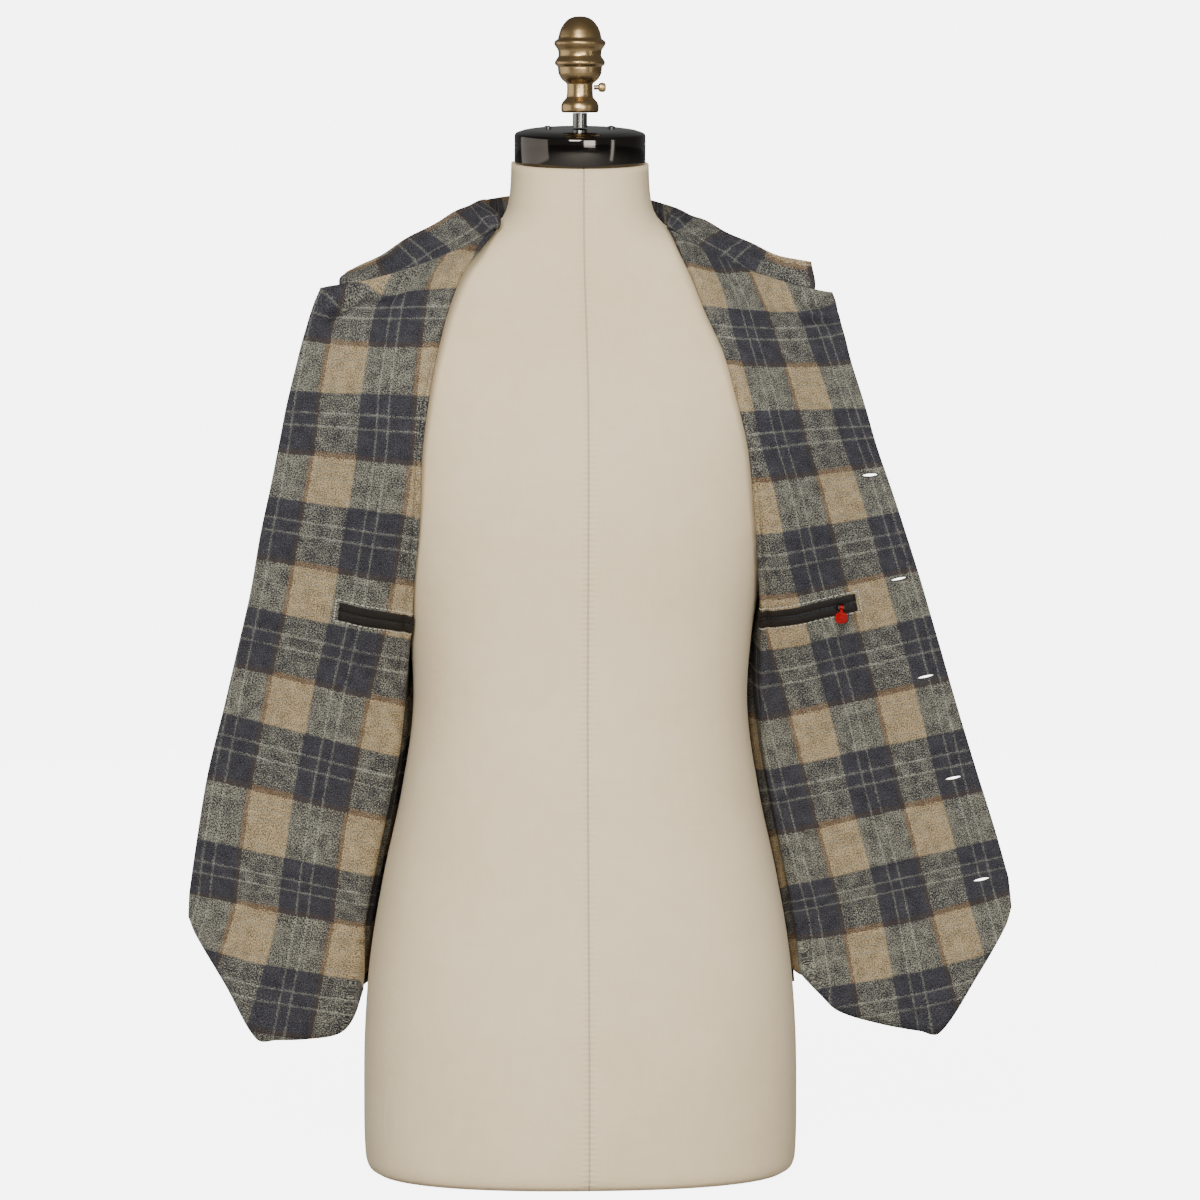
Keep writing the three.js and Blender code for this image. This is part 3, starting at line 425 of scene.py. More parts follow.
# The crowned top, by radius and share of the crown.
CAP_TOP = [(0.0492, 0.22), (0.0471, 0.46), (0.0445, 0.64), (0.0412, 0.8), (0.0375, 0.92), (0.0332, 1)]
cap_shape = turned(
    [
        (0, 0),
        (0.0525, 0),
        (0.0532, 0.0003),
        (0.0535, 0.001),
        (0.0535, 0.0222),
        (0.0533, 0.0232),
        (0.0528, 0.0241),
        (0.0519, 0.0247),
        (0.0508, CAP_HEIGHT + 0.0002),
        *((r, CAP_HEIGHT + CAP_CROWN * rise) for r, rise in CAP_TOP),
        (0, CAP_HEIGHT + CAP_CROWN),
    ]
)
cap_shape.transform(CAP_PLACE)
cap = fitted("black_nickel_cap", cap_shape, black_nickel)
cap.data.set_sharp_from_angle(angle=math.radians(50))
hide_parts("neck_cap")

CAP_SCREW_X, CAP_SCREW_Y = 0.026, 0.009
ROUND_HEAD = [(0, 0), (0.0032, 0), (0.0032, 0.0006), (0.0027, 0.0011), (0.0018, 0.0015), (0, 0.0017)]
SCREW_SLOT = (0.0058, 0.0008, 0.0012)
for side, name in ((-1, "right"), (1, "left")):
    head = turned(ROUND_HEAD, 32)
    slot = bmesh.new()
    bmesh.ops.create_cube(slot, size=1)
    bmesh.ops.scale(slot, verts=slot.verts, vec=SCREW_SLOT)
    bmesh.ops.rotate(slot, verts=slot.verts, matrix=Matrix.Rotation(math.radians(30 * side), 3, "Z"))
    bmesh.ops.translate(slot, verts=slot.verts, vec=(0, 0, 0.0013))
    on_cap = (side * CAP_SCREW_X, CAP_SCREW_Y, CAP_HEIGHT + CAP_CROWN + CAP_GAP)
    screw_place = CAP_PLACE @ Matrix.Translation(on_cap)
    head.transform(screw_place)
    slot.transform(screw_place)
    screw = fitted(f"cap_screw_head_{name}", head, polished_steel)
    chisel = fitted("slot_cutter", slot, polished_steel)
    cut = screw.modifiers.new("slot", "BOOLEAN")
    cut.object, cut.operation, cut.solver = chisel, "DIFFERENCE", "EXACT"
    bpy.context.view_layer.objects.active = screw
    with bpy.context.temp_override(object=screw, active_object=screw):
        bpy.ops.object.modifier_apply(modifier="slot")
    bpy.data.objects.remove(chisel)
    screw.data.set_sharp_from_angle(angle=math.radians(35))
    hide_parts(f"cap_screw_{name}")


# ---------- dress form: rod, finial and thumb screw ----------
# A polished steel rod stands out of the cap. A turned brass finial sits over its end, darkened in
# its hollows with age, and a flat-headed brass thumb screw in its neck clamps it.

ROD_BASE = 0.8552
FINIAL_BASE = 0.8674
ROD_LENGTH = 0.0119

ROD_RADIUS = 0.006


def plain_rod(radius, length, steps):
    return turned([(0, 0), (radius, 0), (radius, length), (0, length)], steps)


rod = fitted("steel_rod", plain_rod(ROD_RADIUS, ROD_LENGTH, 64), polished_steel)
rod.data.transform(Matrix.Translation((0, 0, ROD_BASE)))
rod.data.set_sharp_from_angle(angle=math.radians(50))
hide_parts("rod")

FINIAL_FOOT = [(0, 0), (0.0138, 0), (0.0147, 0.0004), (0.0152, 0.0012), (0.0154, 0.0034)]
FINIAL_FOOT += [(0.0153, 0.0058)]
FINIAL_BODY = [
    (0.0144, 0.0084),
    (0.0122, 0.0110),
    (0.0108, 0.0136),
    (0.0106, 0.0224),
    (0.0114, 0.0240),
    (0.0148, 0.0270),
    (0.0172, 0.0310),
    (0.0180, 0.0350),
    (0.0182, 0.0372),
    (0.0201, 0.0390),
    (0.0205, 0.0410),
    (0.0192, 0.0434),
    (0.0176, 0.0462),
    (0.0179, 0.0505),
    (0.0198, 0.0536),
    (0.0210, 0.0560),
    (0.0204, 0.0582),
    (0.0181, 0.0600),
    (0.0172, 0.0632),
    (0.0159, 0.0675),
    (0.0136, 0.0716),
    (0.0099, 0.0756),
    (0.0052, 0.0778),
    (0.0000, 0.0784),
]
BRASS_BRIGHT = (0.40, 0.275, 0.130, 1)
BRASS_AGED = (0.27, 0.180, 0.083, 1)
BRASS_DARK = (0.045, 0.03, 0.016, 1)


def make_brass():
    brass, tree, shader = new_finish("aged brass", Metallic=0.95)
    place = object_place(tree)
    tarnish = placed_effect(tree, soiling, Vector=place, Size=38.0, Breakup=0.35)["Mask"]
    rubbed = placed_effect(tree, rubbed_metal, Vector=place, Lines=(1.0, 1.0, 22.0))
    metal = mixed(tree, tarnish, BRASS_BRIGHT, BRASS_AGED)
    # Grime stays in the hollows between the turned rings.
    hollow = node(tree, "ShaderNodeNewGeometry").outputs["Pointiness"]
    grime = spread(tree, hollow, 0.40, 0.49, 1.0, 0.0)
    metal = mixed(tree, grime, metal, BRASS_DARK)
    tree.links.new(metal, shader.inputs["Base Color"])
    gloss = spread(tree, tarnish, 0.0, 1.0, 0.27, 0.40)
    gloss = maths(tree, "MULTIPLY_ADD", grime, 0.3, gloss)
    tree.links.new(gloss, shader.inputs["Roughness"])
    height = maths(tree, "MULTIPLY_ADD", tarnish, -0.6, rubbed["Lines"])
    raise_bump(tree, shader, height, 0.0002, 0.35)
    return brass


aged_brass = make_brass()
finial_shape = turned(FINIAL_FOOT + smooth_profile(FINIAL_BODY))
bmesh.ops.translate(finial_shape, verts=finial_shape.verts, vec=(0, 0, FINIAL_BASE))
finial = fitted("brass_finial", finial_shape, aged_brass)
finial.data.set_sharp_from_angle(angle=math.radians(50))
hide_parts("finial")

THUMB_HEAD = [
    (0.0000, 0.0036),
    (0.0020, 0.0037),
    (0.0032, 0.0043),
    (0.0038, 0.0056),
    (0.0038, 0.0080),
    (0.0032, 0.0093),
    (0.0020, 0.0099),
    (0.0000, 0.0100),
]
THUMB_SCREW_X = 0.0113
THUMB_SCREW_RISE = 0.0205  # above the finial's foot

thumb_shape = plain_rod(0.0020, 0.0038, 32)
flat_head = turned(smooth_profile(THUMB_HEAD), 48)
bmesh.ops.scale(flat_head, verts=flat_head.verts, vec=(1, 0.5, 1))
thumb_mesh = bpy.data.meshes.new("head")
flat_head.to_mesh(thumb_mesh)
thumb_shape.from_mesh(thumb_mesh)
flat_head.free()
bpy.data.meshes.remove(thumb_mesh)
thumb_shape.transform(Matrix.Rotation(math.pi / 2, 4, "Y"))
thumb_shape.transform(Matrix.Translation((THUMB_SCREW_X, 0, FINIAL_BASE + THUMB_SCREW_RISE)))
thumb_screw = fitted("brass_thumb_screw", thumb_shape, aged_brass, "screw")
thumb_screw.data.set_sharp_from_angle(angle=math.radians(40))
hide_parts("thumb_screw")


# ---------- gilet: the cloth ----------
# Soft dark brown nappa bonded to brushed wool flannel, worn wool side out where it is turned
# back. The wool is woven in a check: navy and beige bands both ways, each beige band with a rust
# line along it and each navy one with two thin pale lines.

CLOTH = 0.002
SEAM_GAP = 0.0003
CHECK_DOWN = 0.0975  # one repeat of the check down the cloth
CHECK_ACROSS = 0.084
BEIGE_SHARE = 0.425  # of a repeat, at its start
FIBRE_CONTRAST = 0.45
YARN_WANDER = 0.0032  # how far a yarn strays from its own line
NAP_REACH = 0.0042  # how far the brushed nap carries one band's colour over the next
FORM_EASE = 0.004
SHOULDER_EASE = 0.009
SHOULDER_TIP_Z, NECK_POINT_Z, UNDERARM_Z = 0.743, 0.774, 0.540
SIDE_SEAM_ANGLE = 6  # degrees behind the form's widest line

# Yarn colours. Where a beige yarn crosses a navy one it looks greyer than beside its own kind.
NAVY = (0.026, 0.0245, 0.030, 1)
NAVY_WORN = (0.056, 0.055, 0.060, 1)
BEIGE = (0.380, 0.290, 0.168, 1)
BEIGE_SHADE = (0.140, 0.103, 0.056, 1)
BEIGE_ON_NAVY = (0.225, 0.216, 0.160, 1)
RUST = (0.150, 0.088, 0.043, 1)
RUST_ON_NAVY = (0.052, 0.040, 0.033, 1)
PALE = (0.32, 0.315, 0.250, 1)
# Painted shade, for the bottoms of creases in the wool.
CREASE_SHADE = (0.010, 0.010, 0.011, 1)
LEATHER_BROWN = (0.022, 0.0155, 0.0125, 1)
LEATHER_CREASE = (0.006, 0.004, 0.003, 1)

# Bands of one repeat, as shares of it from the edge of the beige band: kind, start and end.
CHECK_BANDS = [
    ("beige", 0.000, BEIGE_SHARE),
    ("navy", BEIGE_SHARE, 0.602),
    ("pale", 0.602, 0.618),
    ("navy", 0.618, 0.720),
    ("pale", 0.720, 0.736),
    ("navy", 0.736, 0.950),
    ("rust", 0.950, 1.000),
]


BAND_BORDER = 0.010  # how softly one band gives way to the next, as a share of a repeat


def band_ramp(tree, share, kind):
    """One where the share of the repeat lies in a band of this kind, with soft borders."""
    ramp = node(tree, "ShaderNodeValToRGB", None, Fac=share)
    stops = ramp.color_ramp.elements
    inside = [band == kind for band, _, _ in CHECK_BANDS]
    stops[0].position, stops[1].position = 0.0, 1.0
    stops[0].color = (inside[0],) * 3 + (1,)
    stops[1].color = (inside[-1],) * 3 + (1,)
    for (_, _, end), here, after in zip(CHECK_BANDS, inside, inside[1:]):
        if here != after:
            for position, value in ((end - BAND_BORDER / 2, here), (end + BAND_BORDER / 2, after)):
                stops.new(position).color = (value,) * 3 + (1,)
    return node(tree, "ShaderNodeSeparateColor", None, Color=ramp.outputs[0]).outputs[0]


def make_wool_check():
    """The check's colour from a place on the cloth in metres, across (X) and down (Y)."""
    check, given, out = new_effect(
        "wool check",
        [("Vector", VECTOR, None), ("Across", FLOAT, CHECK_ACROSS), ("Down", FLOAT, CHECK_DOWN)],
        [("Color", COLOUR), ("Nap", FLOAT)],
    )
    # Heathered flannel: which yarn shows changes from one loop to the next.
    fleck = noise(check, given["Vector"], 860.0, 2.0, Roughness=0.75)
    mottle = swing(check, noise(check, given["Vector"], 1500.0, 1.0), 0.8, fleck)
    mottle = swing(check, noise(check, given["Vector"], 95.0, 2.0), 0.25, mottle)
    # The yarns wander and the nap is brushed over them, so no border is ruler straight.
    place = node(check, "ShaderNodeSeparateXYZ", None, Vector=given["Vector"])
    brushed = maths(check, "MULTIPLY", maths(check, "SUBTRACT", mottle, 0.5), NAP_REACH)
    shares = []
    for axis, repeat, scale in ((0, "Across", 330.0), (1, "Down", 290.0)):
        wander = noise(check, given["Vector"], scale, 3.0, Roughness=0.7)
        aside = swing(check, wander, YARN_WANDER, brushed)
        repeats = maths(check, "DIVIDE", maths(check, "ADD", place.outputs[axis], aside), given[repeat])
        shares.append(maths(check, "FRACT", repeats))
    beiges, rusts, pales = (
        [band_ramp(check, share, kind) for share in shares] for kind in ("beige", "rust", "pale")
    )
    both = maths(check, "MULTIPLY", beiges[0], beiges[1])
    either = maths(check, "MAXIMUM", beiges[0], beiges[1])
    grey = maths(check, "SUBTRACT", either, both)
    navy = mixed(check, spread(check, mottle, 0.36, 0.70), NAVY, NAVY_WORN)
    # Navy yarns down the cloth keep more of the beige ones on top than navy yarns across it.
    shows = spread(check, beiges[0], 0.0, 1.0, 0.0, 0.045)
    loop = spread(check, maths(check, "SUBTRACT", mottle, shows), 0.43, 0.645)
    cloth = mixed(check, maths(check, "MULTIPLY", loop, grey), navy, BEIGE_ON_NAVY)
    beige = mixed(check, spread(check, mottle, 0.34, 0.62, 1.0, 0.0), BEIGE, BEIGE_SHADE)
    cloth = mixed(check, both, cloth, beige)
    lit = spread(check, mottle, 0.36, 0.62)
    for rust, crossing in ((rusts[0], beiges[1]), (rusts[1], beiges[0])):
        shade = mixed(check, crossing, RUST_ON_NAVY, RUST)
        strength = maths(check, "MULTIPLY", rust, spread(check, lit, 0.0, 1.0, 0.95, 0.35))
        cloth = mixed(check, strength, cloth, shade)
    for pale, crossing in ((pales[0], beiges[1]), (pales[1], beiges[0])):
        broken = spread(check, mottle, 0.38, 0.58, 0.10, 1.0)
        whole = spread(check, crossing, 0.0, 1.0, 0.34, 0.72)
        strength = maths(check, "MULTIPLY", maths(check, "MULTIPLY", pale, broken), whole)
        cloth = mixed(check, strength, cloth, PALE)
    # Faint darker threads cross the beige squares near their borders.
    for share in shares:
        for at in (0.06, 0.125, 0.19, 0.375):
            near = maths(check, "ABSOLUTE", maths(check, "SUBTRACT", share, at))
            thread = maths(check, "MULTIPLY", spread(check, near, 0.004, 0.012, 0.62, 0.0), both)
            cloth = mixed(check, maths(check, "MULTIPLY", thread, lit), cloth, BEIGE_ON_NAVY)
    # Lit and shaded fibres.
    fibre = spread(check, mottle, 0.30, 0.70)
    depth = node(check, "ShaderNodeCombineColor", None, Red=fibre, Green=fibre, Blue=fibre).outputs[0]
    cloth = mixed(check, FIBRE_CONTRAST, cloth, depth, "OVERLAY")
    check.links.new(cloth, out["Color"])
    check.links.new(mottle, out["Nap"])
    return check


wool_check = make_wool_check()


def make_wool():
    wool, tree, shader = new_finish("checked wool flannel", Roughness=1.0, Specular_IOR_Level=0.05)
    place = node(tree, "ShaderNodeUVMap", {"uv_map": "cloth"}).outputs[0]
    check = placed_effect(tree, wool_check, Vector=place)
    # Painted shade: the bottom of a crease, found by the mesh's pointiness, is darkened in the colour
    # towards CREASE_SHADE.
    hollow = node(tree, "ShaderNodeNewGeometry").outputs["Pointiness"]
    painted_crease_shade = spread(tree, hollow, 0.40, 0.488, 0.8, 0.0)
    tree.links.new(mixed(tree, painted_crease_shade, check["Color"], CREASE_SHADE), shader.inputs["Base Color"])
    weave = placed_effect(tree, plain_weave, Vector=place, Threads=1100.0, Slub=1.0)
    loops = maths(tree, "MULTIPLY", weave["Height"], 0.35)
    height = maths(tree, "MULTIPLY_ADD", check["Nap"], 1.1, loops)
    raise_bump(tree, shader, height, 0.0006, 0.55)
    return wool


def make_leather_grain():
    """Fine pebbled grain with creases and pores between its cells."""
    grain, given, out = new_effect(
        "leather grain",
        [("Vector", VECTOR, None), ("Cells", FLOAT, 900.0)],
        [("Height", FLOAT), ("Creases", FLOAT)],
    )
    to_edge = {"feature": "DISTANCE_TO_EDGE"}
    cells = node(grain, "ShaderNodeTexVoronoi", to_edge, Vector=given["Vector"], Scale=given["Cells"])
    pebble = spread(grain, cells.outputs["Distance"], 0.0, 0.28)
    broad = noise(grain, given["Vector"], maths(grain, "MULTIPLY", given["Cells"], 0.07), 4.0)
    height = maths(grain, "MULTIPLY_ADD", broad, 0.8, pebble)
    grain.links.new(height, out["Height"])
    grain.links.new(maths(grain, "SUBTRACT", 1.0, pebble), out["Creases"])
    return grain


leather_grain = make_leather_grain()


def make_leather(name, colour, cells):
    leather, tree, shader = new_finish(name, Specular_IOR_Level=0.22)
    place = object_place(tree)
    grain = placed_effect(tree, leather_grain, Vector=place, Cells=cells)
    worn = placed_effect(tree, soiling, Vector=place, Size=16.0, Breakup=0.5)["Mask"]
    paler = tuple(min(1.0, part * 1.9 + 0.002) for part in colour[:3]) + (1,)
    hide = mixed(tree, maths(tree, "MULTIPLY", worn, 0.6), colour, paler)
    hide = mixed(tree, maths(tree, "MULTIPLY", grain["Creases"], 0.5), hide, LEATHER_CREASE)
    tree.links.new(hide, shader.inputs["Base Color"])
    tree.links.new(spread(tree, worn, 0.0, 1.0, 0.42, 0.58), shader.inputs["Roughness"])
    raise_bump(tree, shader, grain["Height"], 0.0004, 0.5)
    return leather


checked_wool = make_wool()
nappa = make_leather("brown nappa", LEATHER_BROWN, 850.0)


def shoulder_slope(z):
    return smoothstep(z, 0.712, 0.738) * (1 - smoothstep(z, 0.762, 0.780))


def ease_across(z):
    return FORM_EASE + SHOULDER_EASE * shoulder_slope(z)


def ease_through(z):
    return FORM_EASE + SHOULDER_EASE / 3 * shoulder_slope(z)


def on_cloth(degrees, z):
    """A point of the middle of cloth that lies on the form."""
    return around_form(degrees, z, ease_across(z), ease_through(z))


def clear_of_form(point):
    """Moves points outward, level, until the cloth clears the form."""
    x, y, z = point[..., 0], point[..., 1], point[..., 2]
    depth = np.where(y < 0, form_front(z), form_rear(z)) + ease_through(z)
    across = np.abs(x / (form_half_width(z) + ease_across(z))) ** FORM_POWER
    through = np.abs(y / depth) ** FORM_POWER
    reach = (across + through) ** (1 / FORM_POWER)
    reach = np.where((reach >= 1) | (reach == 0), 1, reach)
    return np.stack([x / reach, y / reach, z], axis=-1)


def armhole_angle(z, bite):
    fall = np.clip((SHOULDER_TIP_Z - z) / (SHOULDER_TIP_Z - UNDERARM_Z), 0, 1)
    return SIDE_SEAM_ANGLE * fall + bite * np.sin(np.pi * fall) ** 0.8


def length_of(vector):
    return np.linalg.norm(vector, axis=-1, keepdims=True)


def facing(place, side):
    """The wool side's normal of a sheet place(u, v)."""
    step = 1e-3

    def normal(u, v):
        across = place(np.minimum(u + step, 1), v) - place(np.maximum(u - step, 0), v)
        down = place(u, np.minimum(v + step, 1)) - place(u, np.maximum(v - step, 0))
        out = np.cross(down, across)
        return side * out / length_of(out)

    return normal


# ---------- gilet: the two fronts ----------
# Each front is one panel from shoulder and side seam to the front edge. It turns outward along a
# soft roll, so that its wool side shows all the way to the pointed hem, and its edge is raw
# bonded leather.

FOLD_U = 0.32  # share of a level line of the panel that lies under its roll
SHOULDER_U = 0.25  # share of the panel's top edge that is shoulder seam
FRONT_ARMHOLE_BITE = 38
ROLL_CROWDING = 1.4  # how far the lines of the sheet crowd towards its roll
GORGE_SAG = 0.009
GORGE_SAG_LINES = 5  # level lines over which the sag dies out, going down
SEAM_ABOVE_HEM = 0.005  # how much higher the side seam ends than the hem beside it
SLANT_REACH = 0.15  # how far in from the front edge the check's level lines slant

# Armhole or side seam height, the roll's x, y and z, the front edge's x, y and z, and how
# broadly the panel turns.
LEFT_FRONT_LINES = [
    (0.743, 0.070, -0.036, 0.774, 0.201, -0.063, 0.722, 0.104),
    (0.735, 0.0765, -0.060, 0.757, 0.206, -0.069, 0.703, 0.076),
    (0.720, 0.086, -0.077, 0.735, 0.211, -0.072, 0.685, 0.056),
    (0.698, 0.096, -0.089, 0.708, 0.215, -0.074, 0.667, 0.054),
    (0.668, 0.110, -0.099, 0.676, 0.221, -0.073, 0.647, 0.050),
    (0.636, 0.120, -0.103, 0.640, 0.228, -0.072, 0.624, 0.054),
    (0.602, 0.130, -0.098, 0.600, 0.236, -0.070, 0.598, 0.056),
    (0.570, 0.1355, -0.087, 0.556, 0.249, -0.066, 0.562, 0.056),
    (0.540, 0.141, -0.066, 0.506, 0.2625, -0.061, 0.523, 0.054),
    (0.470, 0.1455, -0.042, 0.456, 0.276, -0.054, 0.483, 0.052),
    (0.410, 0.147, -0.020, 0.405, 0.290, -0.046, 0.438, 0.046),
    (0.350, 0.150, -0.008, 0.350, 0.306, -0.038, 0.385, 0.040),
    (0.292, 0.160, -0.002, 0.295, 0.3235, -0.030, 0.330, 0.036),
    (0.236, 0.171, 0.002, 0.240, 0.340, -0.024, 0.280, 0.034),
    (0.200, 0.178, 0.004, 0.203, 0.352, -0.020, 0.240, 0.034),
]
RIGHT_FRONT_LINES = [
    (0.743, 0.070, -0.036, 0.774, 0.213, -0.062, 0.726, 0.104),
    (0.735, 0.082, -0.060, 0.760, 0.2205, -0.068, 0.707, 0.076),
    (0.720, 0.098, -0.076, 0.740, 0.2255, -0.071, 0.690, 0.056),
    (0.698, 0.110, -0.089, 0.713, 0.2305, -0.074, 0.672, 0.054),
    (0.668, 0.1195, -0.099, 0.680, 0.2355, -0.073, 0.652, 0.050),
    (0.636, 0.127, -0.103, 0.643, 0.241, -0.072, 0.629, 0.054),
    (0.602, 0.1325, -0.098, 0.600, 0.246, -0.070, 0.603, 0.056),
    (0.570, 0.134, -0.087, 0.554, 0.253, -0.066, 0.568, 0.056),
    (0.540, 0.136, -0.066, 0.506, 0.262, -0.061, 0.527, 0.054),
    (0.470, 0.140, -0.042, 0.453, 0.270, -0.054, 0.480, 0.052),
    (0.410, 0.144, -0.020, 0.402, 0.280, -0.046, 0.434, 0.046),
    (0.350, 0.149, -0.008, 0.346, 0.2915, -0.038, 0.384, 0.040),
    (0.292, 0.160, -0.002, 0.292, 0.305, -0.030, 0.330, 0.036),
    (0.236, 0.171, 0.002, 0.238, 0.315, -0.024, 0.272, 0.034),
    (0.200, 0.178, 0.004, 0.201, 0.321, -0.020, 0.232, 0.034),
]

# The pointed hem, from the side seam (0) to the corner of the front edge (1), with its x and z.
LEFT_FRONT_HEM = [
    (0.00, 0.183, 0.158),
    (0.12, 0.198, 0.142),
    (0.24, 0.213, 0.128),
    (0.42, 0.246, 0.118),
    (0.58, 0.280, 0.112),
    (0.66, 0.297, 0.111),
    (0.82, 0.327, 0.158),
    (0.95, 0.350, 0.200),
    (1.00, 0.3545, 0.216),
]
RIGHT_FRONT_HEM = [
    (0.00, 0.178, 0.150),
    (0.12, 0.187, 0.125),
    (0.24, 0.199, 0.113),
    (0.42, 0.225, 0.1095),
    (0.58, 0.250, 0.1095),
    (0.66, 0.267, 0.111),
    (0.82, 0.292, 0.156),
    (0.95, 0.316, 0.198),
    (1.00, 0.322, 0.213),
]

# How the check lies on each front, at shares of the way down it: how far down the cloth its
# front edge is, how a level line slants across the cloth, and how far in from the front edge
# the first beige band's inner guide line runs.
LEFT_CHECK = [
    (0.00, 0.024, -0.50, 0.040),
    (0.10, 0.065, -0.50, 0.036),
    (0.24, 0.107, -0.31, 0.033),
    (0.34, 0.147, -0.15, 0.031),
    (0.44, 0.199, -0.08, 0.028),
    (0.58, 0.293, 0.00, 0.028),
    (0.71, 0.390, 0.00, 0.029),
    (0.825, 0.488, 0.00, 0.034),
    (0.955, 0.585, 0.00, 0.037),
    (1.00, 0.619, 0.00, 0.042),
]
RIGHT_CHECK = [
    (0.00, -0.045, -0.50, 0.024),
    (0.10, -0.017, -0.50, 0.025),
    (0.20, 0.013, -0.40, 0.027),
    (0.31, 0.048, -0.19, 0.029),
    (0.42, 0.098, -0.03, 0.031),
    (0.56, 0.194, 0.00, 0.032),
    (0.69, 0.294, 0.00, 0.033),
    (0.805, 0.390, 0.00, 0.038),
    (0.93, 0.484, 0.00, 0.040),
    (1.00, 0.546, 0.00, 0.044),
]


def front_sheet(lines, hem, side):
    """The middle of a front's cloth, by u from its inner edge to the front edge and v down."""
    last = len(lines) - 1
    numbered = [(i, *line) for i, line in enumerate(lines)]
    columns = [smooth_column(numbered, column) for column in range(1, 9)]
    hem_x, hem_z = smooth_column(hem, 1), smooth_column(hem, 2)

    def level_line(i, sag_at, u):
        inner_z, *roll_at, edge_x, edge_y, edge_z, breadth = [column(i) for column in columns]
        angle = armhole_angle(inner_z, -FRONT_ARMHOLE_BITE)
        inner = on_cloth(angle, inner_z)
        roll = np.stack(roll_at, -1)
        edge = np.stack([edge_x, edge_y, edge_z], -1)
        turn = breadth[..., None] * np.array([0.0, -1.0, 0.0])
        under = on_cloth(angle - 1, inner_z) - inner
        under = under / length_of(under) * length_of(roll - inner)
        s_in = 1 - (1 - np.clip(u / FOLD_U, 0, 1)) ** ROLL_CROWDING
        along = np.clip((u - FOLD_U) / (1 - FOLD_U), 0, 1)
        body = hermite(inner, roll, under, turn, s_in[..., None])
        flap = hermite(roll, edge, turn, edge - roll, (along**ROLL_CROWDING)[..., None])
        sag = GORGE_SAG * np.clip(1 - sag_at / GORGE_SAG_LINES, 0, 1)
        flap[..., 2] -= sag * np.sin(np.pi * along**1.75)
        return np.where((u < FOLD_U)[..., None], body, flap)

    def top_line(u):
        none = 0 * u
        shoulder_z = lerp(SHOULDER_TIP_Z, NECK_POINT_Z, np.clip(u / SHOULDER_U, 0, 1))
        shoulder = on_cloth(none, shoulder_z)
        share = np.clip((u - SHOULDER_U) / (FOLD_U - SHOULDER_U), 0, 1)[..., None]
        neck = on_cloth(none, none + NECK_POINT_Z)
        round_neck = lerp(neck, level_line(none, none, none + FOLD_U), share)
        inner = np.where((u < SHOULDER_U)[..., None], shoulder, round_neck)
        return np.where((u > FOLD_U)[..., None], level_line(none, none, u), inner)

    def hem_line(u):
        at_last = 0 * u + last
        under = level_line(at_last, 0 * u + GORGE_SAG_LINES, u)
        seam = on_cloth(0 * u + SIDE_SEAM_ANGLE, 0 * u + hem[0][2] + SEAM_ABOVE_HEM)
        roll_y = level_line(at_last, 0 * u + GORGE_SAG_LINES, 0 * u + FOLD_U)[..., 1]
        s = np.clip(u / FOLD_U, 0, 1)
        x = seam[..., 0] + s * s * (hem[0][1] - seam[..., 0])
        inside = np.stack([x, lerp(seam[..., 1], roll_y, s), lerp(seam[..., 2], hem[0][2], s)], -1)
        along = np.clip((u - FOLD_U) / (1 - FOLD_U), 0, 1) ** 1.2
        outside = np.stack([hem_x(along), under[..., 1], hem_z(along)], -1)
        return np.where((u < FOLD_U)[..., None], inside, outside)

    def place(u, v):
        u, v = np.broadcast_arrays(np.asarray(u, float), np.asarray(v, float))
        i = v * (last + 1)
        cloth = level_line(np.minimum(i, last), np.minimum(i, last), u)
        cloth = lerp(cloth, hem_line(u), np.clip(i - last, 0, 1)[..., None])
        cloth = lerp(top_line(u), cloth, smoothstep(i, 0, 1)[..., None])
        cloth = clear_of_form(cloth)
        return cloth * np.array([side, 1, 1]) - np.array([0, SEAM_GAP / 2, 0])

    return place


def inward_length(place, u, v):
    """How far in from the front edge a point lies, along its level line."""
    shares = np.linspace(0, 1, 401)
    grid_u, grid_v = np.meshgrid(shares, np.linspace(0, 1, 161))
    steps = np.linalg.norm(np.diff(place(grid_u, grid_v), axis=1), axis=-1)
    walked = np.zeros_like(grid_u)
    walked[:, :-1] = np.cumsum(steps[:, ::-1], axis=1)[:, ::-1]
    row, column = v * 160, u * 400
    r, c = np.minimum(row.astype(int), 159), np.minimum(column.astype(int), 399)
    down, across = row - r, column - c
    upper = lerp(walked[r, c], walked[r, c + 1], across)
    lower = lerp(walked[r + 1, c], walked[r + 1, c + 1], across)
    return lerp(upper, lower, down)


def check_on_front(place, rows, stretch, side):
    """The place of each point on the woven cloth, across and down, in metres."""
    down_edge, slant, guide = (smooth_column(rows, column) for column in (1, 2, 3))
    above_hem = 15 / 16  # the last level line. Below it the check runs on as it does there
    step = 0.03

    def level(u, v):
        inward = inward_length(place, u, v)
        across = stretch * (inward - guide(v))
        if side > 0:
            across = BEIGE_SHARE * CHECK_ACROSS - across
        down = down_edge(v) + slant(v) * np.minimum(inward, SLANT_REACH)
        return np.stack([across, down], -1)

    def cloth_at(u, v):
        kept = np.minimum(v, above_hem)
        cloth = level(u, kept)
        base = place(u, kept)
        nearer, further = np.minimum(u + 0.02, 1), np.maximum(u - 0.02, 0)
        outward = place(nearer, kept) - place(further, kept)
        outward = outward / length_of(outward)
        lower = np.maximum(kept, step)
        fall = place(u, lower) - place(u, lower - step)
        fall = fall - (fall * outward).sum(-1, keepdims=True) * outward
        fall = fall / length_of(fall)
        gone = place(u, v) - base
        towards_edge = (gone * outward).sum(-1)
        cloth[..., 0] += side * stretch * towards_edge
        cloth[..., 1] += (gone * fall).sum(-1)
        return cloth

    return cloth_at


